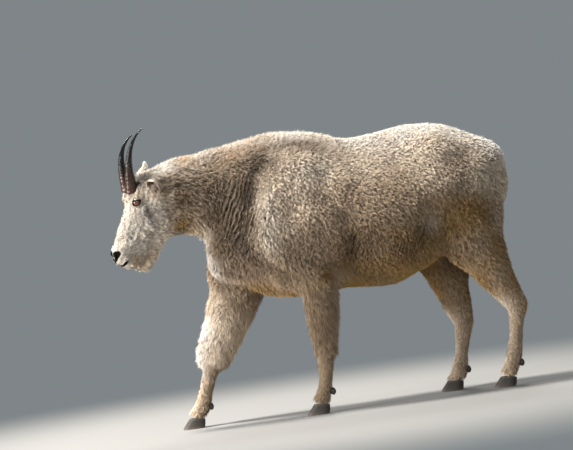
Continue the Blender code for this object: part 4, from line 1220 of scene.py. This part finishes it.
def makeTuft(name, rng, kind):
    joints, blades = tuftShape["joints"], kind["blades"]
    points, faces, patches = [], [], []
    for blade in range(blades):
        rootAcross = (blade / (blades - 1) * 2 - 1) * kind["root"] + rng.uniform(-0.05, 0.05)
        rootAlong = rng.uniform(-0.20, 0.12)
        length = rng.uniform(0.72, 1.06)
        height = rng.uniform(0.55, 1.08)
        twist = rng.uniform(-0.9, 0.9)
        sway = rng.uniform(-1, 1) * kind["sway"]
        wave = rng.uniform(0, 6.28)
        side = Vector((0.0, math.cos(twist), math.sin(twist)))
        start = len(points)
        for k, t in enumerate(joints):
            across = rootAcross * (1 - kind["gather"] * t) + sway * t * t + 0.030 * math.sin(7 * t + wave) * t
            up = height * math.sin(math.pi / 2 * t ** 0.85) + 0.05 * math.sin(6 * t + wave) * t
            place = Vector((rootAlong + length * t, across, up - 0.12 * (t == 0)))
            if k < len(joints) - 1:
                half = kind["width"] / 2 * tuftShape["taper"][k]
                points += [place - side * half, place + side * half]
                patches += [((blade + 0.1) / blades, t), ((blade + 0.9) / blades, t)]
            else:
                points.append(place)
                patches.append(((blade + 0.5) / blades, t))
        last = start + 2 * (len(joints) - 2)
        faces += [(a, a + 1, a + 3, a + 2) for a in range(start, last, 2)]
        faces.append((last, last + 1, last + 2))
    thing = meshObject(name, points, faces)
    writeAttribute(thing.data, "patch", "FLOAT_VECTOR", np.array([(x, y, 0.0) for x, y in patches]))
    return thing


def makeTuftSets():
    rng = np.random.default_rng(7)
    sets = {}
    for kindName, kind in tuftKinds.items():
        group = bpy.data.collections.new(kindName + "Tufts")
        bpy.context.scene.collection.children.link(group)
        for i in range(tuftShape["count"]):
            thing = makeTuft(f"{kindName}Tuft{i}", rng, kind)
            bpy.context.scene.collection.objects.unlink(thing)
            group.objects.link(thing)
        sets[kindName] = group
    return sets


growthSettings = dict(density=160000.0, crackScale=150.0, crackDetail=3.0, crackSharpness=10.0,
                      tallest=1.10, lowest=0.22)


def coatTree():
    tree = bpy.data.node_groups.new("coatOfTufts", "GeometryNodeTree")
    for label, kind in (("Geometry", "Geometry"), ("Part", "Int"), ("Spacing", "Float"), ("Spread", "Float"),
                        ("Seed", "Int"), ("Tufts", "Collection"), ("Wool", "Material")):
        tree.interface.new_socket(label, in_out="INPUT", socket_type="NodeSocket" + kind)
    tree.interface.new_socket("Geometry", in_out="OUTPUT", socket_type="NodeSocketGeometry")
    nodes, links = tree.nodes, tree.links
    join = links.new

    def add(kind, **settings):
        node = nodes.new(kind)
        for key, value in settings.items():
            setattr(node, key, value)
        return node

    def named(name, kind):
        node = add("GeometryNodeInputNamedAttribute", data_type=kind)
        node.inputs["Name"].default_value = name
        return node.outputs["Attribute"]

    def maths(operation, a, b=None):
        return mathsNode(nodes, links, operation, a, b)

    def product(a, *others):
        for b in others:
            a = maths("MULTIPLY", a, b)
        return a

    def oneLess(value):
        return maths("SUBTRACT", 1.0, value)

    def store(name, kind, domain, geometry, value):
        node = add("GeometryNodeStoreNamedAttribute", data_type=kind, domain=domain)
        node.inputs["Name"].default_value = name
        join(geometry, node.inputs["Geometry"])
        join(value, node.inputs["Value"])
        return node.outputs[0]

    def randomBetween(low, high, seed):
        node = add("FunctionNodeRandomValue", data_type="FLOAT")
        floats = [s for s in node.inputs if s.type == "VALUE" and s.enabled]
        floats[0].default_value, floats[1].default_value = low, high
        node.inputs["Seed"].default_value = seed
        return next(s for s in node.outputs if s.enabled)

    entry, out = add("NodeGroupInput"), add("NodeGroupOutput")
    mine = add("FunctionNodeCompare", data_type="INT", operation="EQUAL")
    ints = [s for s in mine.inputs if s.type == "INT" and s.enabled]
    join(named("part", "INT"), ints[0])
    join(entry.outputs["Part"], ints[1])
    scatter = add("GeometryNodeDistributePointsOnFaces", distribute_method="POISSON")
    join(entry.outputs["Geometry"], scatter.inputs["Mesh"])
    join(mine.outputs["Result"], scatter.inputs["Selection"])
    join(entry.outputs["Spacing"], scatter.inputs["Distance Min"])
    scatter.inputs["Density Max"].default_value = growthSettings["density"]
    join(entry.outputs["Seed"], scatter.inputs["Seed"])

    aim = add("FunctionNodeAxesToRotation", primary_axis="Z", secondary_axis="X")
    join(scatter.outputs["Normal"], aim.inputs["Primary Axis"])
    join(named("lie", "FLOAT_VECTOR"), aim.inputs["Secondary Axis"])
    stray = add("ShaderNodeCombineXYZ")
    join(randomBetween(-0.35, 0.35, 1), stray.inputs["X"])
    join(product(randomBetween(-0.55, 0.10, 2), named("lift", "FLOAT")), stray.inputs["Y"])
    fold, valley = named("fold", "FLOAT"), named("valley", "FLOAT")
    join(product(randomBetween(-0.60, 0.60, 3), oneLess(product(fold, 0.75))), stray.inputs["Z"])
    toTurn = add("FunctionNodeEulerToRotation")
    join(stray.outputs[0], toTurn.inputs[0])
    turned = add("FunctionNodeRotateRotation", rotation_space="LOCAL")
    join(aim.outputs[0], turned.inputs[0])
    join(toTurn.outputs[0], turned.inputs[1])

    size = add("ShaderNodeCombineXYZ")
    long = product(named("hairLength", "FLOAT"), randomBetween(0.78, 1.18, 4), oneLess(product(fold, 0.58)))
    join(long, size.inputs["X"])
    join(product(long, entry.outputs["Spread"]), size.inputs["Y"])
    flow = named("flowPlace", "FLOAT_VECTOR")  # thin cracks where the noise crosses its middle
    crinkle = noiseNode(nodes, links, flow, growthSettings["crackScale"], growthSettings["crackDetail"])
    crossing = maths("ABSOLUTE", maths("SUBTRACT", crinkle, 0.5))
    crack = oneLess(maths("MINIMUM", product(crossing, growthSettings["crackSharpness"]), 1.0))
    dense = product(named("keep", "FLOAT"), oneLess(product(valley, 0.92, fold)))
    join(dense, scatter.inputs["Density Factor"])
    unfolded = maths("SUBTRACT", growthSettings["tallest"], product(valley, fold))
    height = maths("SUBTRACT", unfolded, product(crack, named("curl", "FLOAT")))
    tall = product(named("depth", "FLOAT"), randomBetween(0.86, 1.10, 5))
    join(product(tall, maths("MAXIMUM", height, growthSettings["lowest"])), size.inputs["Z"])
    marked = store("height", "FLOAT", "POINT", scatter.outputs["Points"], maths("MAXIMUM", height, 0.0))

    pick = add("GeometryNodeCollectionInfo", transform_space="ORIGINAL")
    join(entry.outputs["Tufts"], pick.inputs["Collection"])
    pick.inputs["Separate Children"].default_value = True
    pick.inputs["Reset Children"].default_value = True
    which = add("FunctionNodeRandomValue", data_type="INT")
    choices = [s for s in which.inputs if s.type == "INT" and s.enabled]
    choices[0].default_value, choices[1].default_value = 0, tuftShape["count"] - 1
    which.inputs["Seed"].default_value = 9
    plant = add("GeometryNodeInstanceOnPoints")
    join(marked, plant.inputs["Points"])
    join(pick.outputs[0], plant.inputs["Instance"])
    plant.inputs["Pick Instance"].default_value = True
    join(next(s for s in which.outputs if s.enabled), plant.inputs["Instance Index"])
    join(turned.outputs[0], plant.inputs["Rotation"])
    join(size.outputs[0], plant.inputs["Scale"])

    shaded = store("shade", "FLOAT", "INSTANCE", plant.outputs[0], randomBetween(0.0, 1.0, 6))
    position = add("GeometryNodeInputPosition").outputs[0]
    rooted = store("root", "FLOAT_VECTOR", "INSTANCE", shaded, position)
    real = add("GeometryNodeRealizeInstances")
    join(rooted, real.inputs[0])
    paint = add("GeometryNodeSetMaterial")
    join(real.outputs[0], paint.inputs["Geometry"])
    join(entry.outputs["Wool"], paint.inputs["Material"])
    join(paint.outputs[0], out.inputs[0])
    return tree


patchSize = 0.003  # how wide a tuft's patch is on the UV map


def unwrapRoots(name, roots):  # each root's place on the skin laid flat: round the part, and along it
    level = toLevel(roots)
    x, y, z = level.T
    if "Face" in name or "Jowl" in name:
        h = toHead(roots)
        around = np.arctan2(h[:, 2], h[:, 1] + 0.06)
        along = h[:, 0]
    elif "leg" in name:
        node = ("leg_front_" if "Fore" in name else "leg_hind_") + ("left" if "Left" in name else "right")
        side, joints, offsets = legJoints[node]
        zs = np.array([j[1] for j in joints])[::-1]
        middleX = np.interp(z, zs, np.array([j[0] for j in joints])[::-1])
        middleY = np.interp(z, zs, np.array(offsets)[::-1]) * side
        around = np.arctan2(x - middleX, y - middleY)
        along = z
    else:
        middleZ = np.interp(x, [-0.45, -0.2, 0.2, 0.5, 0.75], [0.78, 0.74, 0.71, 0.76, 0.84])
        around = np.arctan2(y, z - middleZ)
        along = x
    flat = []
    for values in (around, along):
        low, high = values.min(), values.max()
        flat.append((values - low) / (high - low + 1e-9) * (1 - 2 * patchSize) + patchSize / 2)
    return np.stack(flat, axis=1)


def growCoat(name, tree, sets, wool):
    spacing, spread, kind = coatPieces[name]
    grower = bpy.data.objects.new(name + "Grower", skin.data)
    bpy.context.scene.collection.objects.link(grower)
    change = grower.modifiers.new("coat", "NODES")
    change.node_group = tree
    values = {"Part": pieceOrder.index(name), "Spacing": spacing, "Spread": spread,
              "Seed": 100 + pieceOrder.index(name), "Tufts": sets[kind], "Wool": wool}
    for item in tree.interface.items_tree:
        if item.item_type == "SOCKET" and item.in_out == "INPUT" and item.name in values:
            change[item.identifier] = values[item.name]
    coat = plainCopy(grower, name)
    bpy.data.objects.remove(grower)
    mesh = coat.data
    root, patch = (threes(mesh.attributes[label].data, "vector") for label in ("root", "patch"))
    flat = unwrapRoots(name, root) + (patch[:, :2] - 0.5) * patchSize
    corners = np.empty(len(mesh.loops), np.int64)
    mesh.loops.foreach_get("vertex_index", corners)
    layer = mesh.uv_layers.new(name="OFBake")
    layer.uv.foreach_set("vector", flat[corners].astype(np.float32).ravel())
    for extra in ("root", "lie", "depth", "hairLength", "lift", "keep", "skinTone", "fold", "curl",
                  "valley", "flowPlace"):
        if extra in mesh.attributes:
            mesh.attributes.remove(mesh.attributes[extra])
    mesh.shade_smooth()
    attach(coat, "root")
    return coat


def woolTufts():
    made, nodes, links, shader = material("woolTufts", 0.75, 0.04)
    up = partsOf(nodes, links, attributeNode(nodes, "patch")["Vector"])["Y"]
    # Roots darker than tips: partly the wool's own dimmer base, partly painted shade among the hairs.
    rootToTip = rampNode(nodes, links, up, ((0.05, (0.40, 0.345, 0.28)), (0.85, (1.0, 1.0, 1.0))))
    ownShade = bandNode(nodes, links, attributeNode(nodes, "shade")["Fac"], 0.0, 1.0, 0.68, 1.20)
    # Painted shade: shorter tufts, in the cracks between curls and in the fold valleys, are darker.
    sunk = bandNode(nodes, links, attributeNode(nodes, "height")["Fac"], 0.36, 1.0, 0.02, 1.03)
    tone = attributeNode(nodes, "tone")["Color"]
    for factor in (rootToTip, ownShade.outputs["Result"], sunk.outputs["Result"]):
        tone = mixNode(nodes, links, 1.0, tone, factor, "MULTIPLY")
    links.new(tone, shader.inputs["Base Color"])
    return made


markSkin(skin, extraStart)
sortFaces(skin)
print("skin marked")
tuftSets = makeTuftSets()
tree = coatTree()
wool = woolTufts()
coats = {}
for name in coatPieces:
    coats[name] = growCoat(name, tree, tuftSets, wool)
    print(name, sum(len(p.vertices) - 2 for p in coats[name].data.polygons), "triangles")
for group in tuftSets.values():
    drop(*list(group.objects))
    bpy.data.collections.remove(group)
bpy.data.node_groups.remove(tree)

skin.data.materials.clear()
skin.data.materials.append(underWoolMaterial())
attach(skin, "root")
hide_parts(*fleshNodes, "ear_left", "ear_right")
print("skin done")

# Horns, eyes, hooves and dewclaws
hornRecipe = dict(base=(0.047, 0.0235), radius=0.0215, taper=1.2, steps=150, around=28, rings=12,
                  ringShare=0.60, ringHeight=0.0013, sunk=0.014)
hornShapes = {
    -1: dict(length=0.234, above=0.016, lean=26.0, bend=60.0, late=2.2, spread=(6.0, 3.0)),
    1: dict(length=0.204, above=0.014, lean=32.0, bend=76.0, late=2.0, spread=(5.0, 2.0)),
}


def faceOutward(thing):
    shape = openShape(thing)
    bmesh.ops.recalc_face_normals(shape, faces=shape.faces)
    closeShape(shape, thing)


def makeHorn(side):
    r, h = hornRecipe, hornShapes[side]
    place = Vector((r["base"][0], h["above"], r["base"][1]))
    points, marks = [], []
    step = h["length"] / r["steps"]
    sunkSteps = int(r["sunk"] / step)
    rng = np.random.default_rng(40 + side)
    ringAt = np.cumsum(rng.uniform(0.7, 1.3, r["rings"]))
    ringAt = ringAt / ringAt[-1] * r["ringShare"]
    for i in range(-sunkSteps, r["steps"] + 1):
        u = max(i, 0) / r["steps"]
        heading = math.radians(h["lean"] - h["bend"] * u ** h["late"])
        spread = math.radians(h["spread"][0] + h["spread"][1] * u)
        way = Vector((-math.cos(heading), math.sin(heading), math.tan(spread))).normalized()
        if i == -sunkSteps:
            place = place - way * (sunkSteps * step)
        radius = r["radius"] * (1 - u) ** r["taper"] + 0.0012 + 0.0008 * u
        if i < 0:
            radius *= 1 + 0.55 * i / sunkSteps
        gap = float(np.min(np.abs(ringAt - u)))
        groove = math.exp(-(gap / 0.0080) ** 2) * (1 - smoothStep(0.40, r["ringShare"] + 0.05, u))
        sideWay = way.cross(Vector((0, 1, 0))).normalized()
        upWay = sideWay.cross(way).normalized()
        for k in range(r["around"]):
            angle = 2 * math.pi * k / r["around"]
            wobble = 1 + 0.25 * math.sin(3 * angle + i * 0.05)
            reach = radius - r["ringHeight"] * groove * wobble * (1.1 + math.sin(angle) * 0.5)
            slim = 0.98 - 0.10 * min(u * 3, 1)
            point = place + upWay * (math.sin(angle) * reach) + sideWay * (math.cos(angle) * reach * slim)
            points.append(onHead(point.x, point.y, point.z * side))
            marks.append((u, math.cos(angle), math.sin(angle)))
        place = place + way * step
    faces = gridFaces(len(points) // r["around"], r["around"])
    thing = meshObject("hornLeft" if side < 0 else "hornRight", points, faces)
    writeAttribute(thing.data, "hornPlace", "FLOAT_VECTOR", np.array(marks))
    faceOutward(thing)
    return thing


def hornMaterial():
    made, nodes, links, shader = material("hornKeratin", 0.20, 0.35)
    place = attributeNode(nodes, "hornPlace")["Vector"]
    base = rampNode(nodes, links, partsOf(nodes, links, place)["X"], (
        (0.0, (0.050, 0.021, 0.013)), (0.20, (0.030, 0.013, 0.009)), (0.45, (0.008, 0.006, 0.0055)),
        (0.85, (0.003, 0.003, 0.003))))
    streaks = noiseNode(nodes, links, place, 5.0, 4.0, (0.8, 6.0, 6.0))
    streaked = rampNode(nodes, links, streaks, ((0.35, 0.45), (0.70, 1.35)))
    links.new(mixNode(nodes, links, 1.0, base, streaked, "MULTIPLY"), shader.inputs["Base Color"])
    bumpNode(nodes, links, noiseNode(nodes, links, place, 12.0, 3.0, (1.5, 5.0, 5.0)), 0.0004, shader)
    return made


hornSurface = hornMaterial()
for side, node in ((-1, "horn_left"), (1, "horn_right")):
    horn = makeHorn(side)
    horn.data.materials.append(hornSurface)
    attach(horn, "root")
    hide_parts(node)
print("horns made")


def eyeMaterial():
    made, nodes, links, shader = material("wetEye", 0.06)
    gaze = attributeNode(nodes, "gaze")["Vector"]  # along the slit, across it and outward, in eye radii
    parts = partsOf(nodes, links, gaze)

    def maths(operation, a, b=None):
        return mathsNode(nodes, links, operation, a, b)

    x, y = parts["X"], parts["Y"]
    far = maths("SQRT", maths("ADD", maths("MULTIPLY", x, x), maths("MULTIPLY", y, y)))
    # The slot pupil sits above the middle of the eye, so its dark also paints the upper lid's shade.
    slit = (maths("DIVIDE", x, 0.36), maths("DIVIDE", maths("SUBTRACT", y, 0.10), 0.15))
    pupil = maths("SQRT", maths("ADD", *(maths("POWER", maths("ABSOLUTE", part), 2.6) for part in slit)))
    streaks = noiseNode(nodes, links, gaze, 9.0, 4.0, (1.0, 1.0, 0.1))
    iris = rampNode(nodes, links, far, (
        (0.0, (0.06, 0.015, 0.004)), (0.36, (0.24, 0.055, 0.009)), (0.50, (0.10, 0.022, 0.005)),
        (0.60, (0.006, 0.004, 0.003)), (0.95, (0.012, 0.008, 0.007))))
    streaked = rampNode(nodes, links, streaks, ((0.3, 0.55), (0.7, 1.3)))
    iris = mixNode(nodes, links, 0.7, iris, streaked, "MULTIPLY")
    edge = rampNode(nodes, links, pupil, ((0.92, 0.0), (1.08, 1.0)))
    links.new(mixNode(nodes, links, edge, (0.003, 0.003, 0.004), iris), shader.inputs["Base Color"])
    shader.inputs["Coat Weight"].default_value = 1.0
    shader.inputs["Coat Roughness"].default_value = 0.03
    return made


eyeSurface = eyeMaterial()


eyeballSettings = dict(around=48, rows=26, cornea=0.035, corneaReach=0.75)


def makeEye(side):
    centre, outward, slit, across = eyeFrame(side)
    radius = headDetail["eyeRadius"]
    around, rows = eyeballSettings["around"], eyeballSettings["rows"]
    points, marks = [], []
    for i in range(rows + 1):
        tilt = math.pi * i / rows
        for k in range(around):
            angle = 2 * math.pi * k / around
            a, b, c = math.cos(angle) * math.sin(tilt), math.sin(angle) * math.sin(tilt), math.cos(tilt)
            near = max(0.0, 1 - (tilt / eyeballSettings["corneaReach"]) ** 2)
            dome = 1 + eyeballSettings["cornea"] * near  # the cornea stands out a little
            points.append(onHead(*(centre + (slit * a + across * b + outward * c * dome) * radius)))
            marks.append((a, b, c))
    faces = gridFaces(rows + 1, around, closed=False)
    thing = meshObject("eyeballLeft" if side < 0 else "eyeballRight", points, faces)
    writeAttribute(thing.data, "gaze", "FLOAT_VECTOR", np.array(marks))
    shape = openShape(thing)
    bmesh.ops.remove_doubles(shape, verts=shape.verts, dist=0.000001)
    bmesh.ops.recalc_face_normals(shape, faces=shape.faces)
    closeShape(shape, thing)
    thing.data.shade_smooth()
    thing.data.materials.append(eyeSurface)
    return thing


for side, node in ((-1, "eye_left"), (1, "eye_right")):
    ball = makeEye(side)
    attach(ball, "root")
    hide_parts(node)
print("eyes made")

clawRecipe = dict(length=0.074, width=0.030, around=36, levels=14, heelShare=0.42, toeShare=0.58)


def makeClaw(node):
    low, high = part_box(node)
    length, width, height = clawRecipe["length"], clawRecipe["width"], high.z - low.z
    originX = low.x + clawRecipe["toeShare"] * length
    middleY = (low.y + high.y) / 2
    inward = 1 if ("left" in node) == ("inner" in node) else -1  # towards the other claw, in y
    points, marks = [], []
    for i in range(clawRecipe["levels"] + 1):
        u = i / clawRecipe["levels"]
        alongScale = 1.0 - 0.30 * u ** 1.15
        acrossScale = 1.0 - 0.13 * u ** 1.6
        shift = 0.016 * u ** 0.9
        bulge = 1.0 + 0.02 * math.sin(math.pi * min(u * 1.6, 1.0))
        for k in range(clawRecipe["around"]):
            angle = 2 * math.pi * k / clawRecipe["around"]
            c, s = math.cos(angle), math.sin(angle)
            along = c * (clawRecipe["heelShare"] if c > 0 else clawRecipe["toeShare"])
            taper = 1 - 0.34 * max(-c, 0.0) ** 2.2 - 0.12 * max(c, 0.0) ** 2
            across = math.copysign(abs(s) ** 0.72, s) * taper
            if across * inward > 0:
                across *= 0.86  # the inner wall is flatter
            ring = 0.00035 * math.sin(u * 46 + 0.8 * c) * (u > 0.08) * (u < 0.93)
            z = low.z + height * u
            if c > 0.2:  # the heel's bulb is rounder and lower
                z = low.z + height * u * (1 - 0.20 * (c - 0.2))
            points.append((originX + along * length * alongScale * bulge + shift + ring * c,
                           middleY + (across * width / 2 * acrossScale) + ring * s, z))
            marks.append((u, c, s))
    faces = gridFaces(clawRecipe["levels"] + 1, clawRecipe["around"])
    thing = meshObject(node.replace("_", ""), points, faces)
    writeAttribute(thing.data, "clawPlace", "FLOAT_VECTOR", np.array(marks))
    faceOutward(thing)
    thing.data.set_sharp_from_angle(angle=math.radians(50))
    return thing


dewclawRecipe = dict(around=20, rows=12, heel=0.8, tip=1.15, lean=0.002)


def makeDewclaw(node):
    low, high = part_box(node)
    middle, half = (low + high) / 2, (high - low) / 2
    around, rows = dewclawRecipe["around"], dewclawRecipe["rows"]
    points, marks = [], []
    for i in range(rows + 1):
        u = i / rows
        tilt = math.pi * (0.03 + 0.94 * u)
        plump = math.sin(tilt) ** dewclawRecipe["heel" if u < 0.5 else "tip"]
        for k in range(around):
            angle = 2 * math.pi * k / around
            points.append((middle.x + half.x * plump * math.cos(angle) + dewclawRecipe["lean"] * u,
                           middle.y + half.y * plump * math.sin(angle), middle.z + half.z * math.cos(tilt)))
            marks.append((1 - u, math.cos(angle), math.sin(angle)))
    thing = meshObject(node.replace("_", ""), points, gridFaces(rows + 1, around))
    writeAttribute(thing.data, "clawPlace", "FLOAT_VECTOR", np.array(marks))
    faceOutward(thing)
    return thing


def clawMaterial():
    made, nodes, links, shader = material("hoofKeratin", 0.5)
    place = attributeNode(nodes, "clawPlace")["Vector"]
    base = rampNode(nodes, links, partsOf(nodes, links, place)["X"], (
        (0.0, (0.085, 0.066, 0.050)), (0.30, (0.040, 0.032, 0.027)), (0.75, (0.020, 0.017, 0.015)),
        (1.0, (0.055, 0.042, 0.034))))
    bands = noiseNode(nodes, links, place, 4.0, 3.0, (9.0, 0.6, 0.6))
    scuffs = noiseNode(nodes, links, place, 6.0, 5.0, (0.8, 4.0, 4.0))
    for amount, value, stops in ((1.0, bands, ((0.3, 0.65), (0.7, 1.35))),
                                 (0.6, scuffs, ((0.35, 0.6), (0.75, 1.6)))):
        base = mixNode(nodes, links, amount, base, rampNode(nodes, links, value, stops), "MULTIPLY")
    links.new(base, shader.inputs["Base Color"])
    bumpNode(nodes, links, bands, 0.0006, shader)
    return made


clawSurface = clawMaterial()
for node in sorted(frame["nodes"]):
    if node.startswith("hoof") or node.startswith("dewclaw"):
        claw = makeClaw(node) if node.startswith("hoof") else makeDewclaw(node)
        claw.data.materials.append(clawSurface)
        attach(claw, "root")
        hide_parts(node)
print("claws made")

# The studio: a pale floor that fades into the same pale surround, and soft light
studio = dict(surround=(0.212, 0.235, 0.246), floor=(0.22, 0.22, 0.22), floorRadius=4.0, floorCorners=96,
              fade=(0.9, 2.6), lookAt=(0.0, 0.0, 0.6))
lights = {  # place, size, power in watts, colour
    "key": ((-2.2, 0.2, 4.8), 0.9, 640, (1.0, 0.95, 0.87)),
    "front": ((-4.1, -1.2, 0.8), 1.2, 340, (1.0, 0.96, 0.90)),
    "rim": ((0.6, 3.0, 4.2), 1.6, 140, (1.0, 0.97, 0.92)),
    "fill": ((0.5, -5.0, 1.2), 3.0, 75, (1.0, 0.96, 0.92)),
}


def makeStudio():
    count = studio["floorCorners"]
    ring = [(math.cos(2 * math.pi * i / count) * studio["floorRadius"],
             math.sin(2 * math.pi * i / count) * studio["floorRadius"], 0.0) for i in range(count)]
    floor = meshObject("floor", ring, [range(count)], smooth=False)
    made, nodes, links, shader = material("paleFloor", 0.9)
    shader.inputs["Base Color"].default_value = (*studio["floor"], 1.0)
    place = nodes.new("ShaderNodeTexCoord")
    reach = nodes.new("ShaderNodeVectorMath")
    reach.operation = "LENGTH"
    fade = bandNode(nodes, links, reach.outputs["Value"], *studio["fade"], 0.0, 1.0)
    fade.interpolation_type = "SMOOTHSTEP"
    glow = nodes.new("ShaderNodeEmission")
    glow.inputs["Color"].default_value = (*studio["surround"], 1.0)
    mix = nodes.new("ShaderNodeMixShader")
    links.new(place.outputs["Object"], reach.inputs[0])
    links.new(fade.outputs["Result"], mix.inputs["Fac"])
    links.new(shader.outputs["BSDF"], mix.inputs[1])
    links.new(glow.outputs["Emission"], mix.inputs[2])
    links.new(mix.outputs["Shader"], nodes["Material Output"].inputs["Surface"])
    floor.data.materials.append(made)
    world = bpy.data.worlds.new("surround")
    world.use_nodes = True
    world.node_tree.nodes["Background"].inputs["Color"].default_value = (*studio["surround"], 1.0)
    bpy.context.scene.world = world


def softLight(name, place, size, power, colour):
    data = bpy.data.lights.new(name, "AREA")
    data.shape = "SQUARE"
    data.size = size
    data.energy = power
    data.color = colour
    thing = bpy.data.objects.new(name, data)
    bpy.context.scene.collection.objects.link(thing)
    way = Vector(studio["lookAt"]) - Vector(place)
    thing.matrix_world = Matrix.Translation(place) @ way.to_track_quat("-Z", "Y").to_matrix().to_4x4()


makeStudio()
for name, settings in lights.items():
    softLight(name, *settings)
bpy.context.scene.view_settings.view_transform = "Standard"
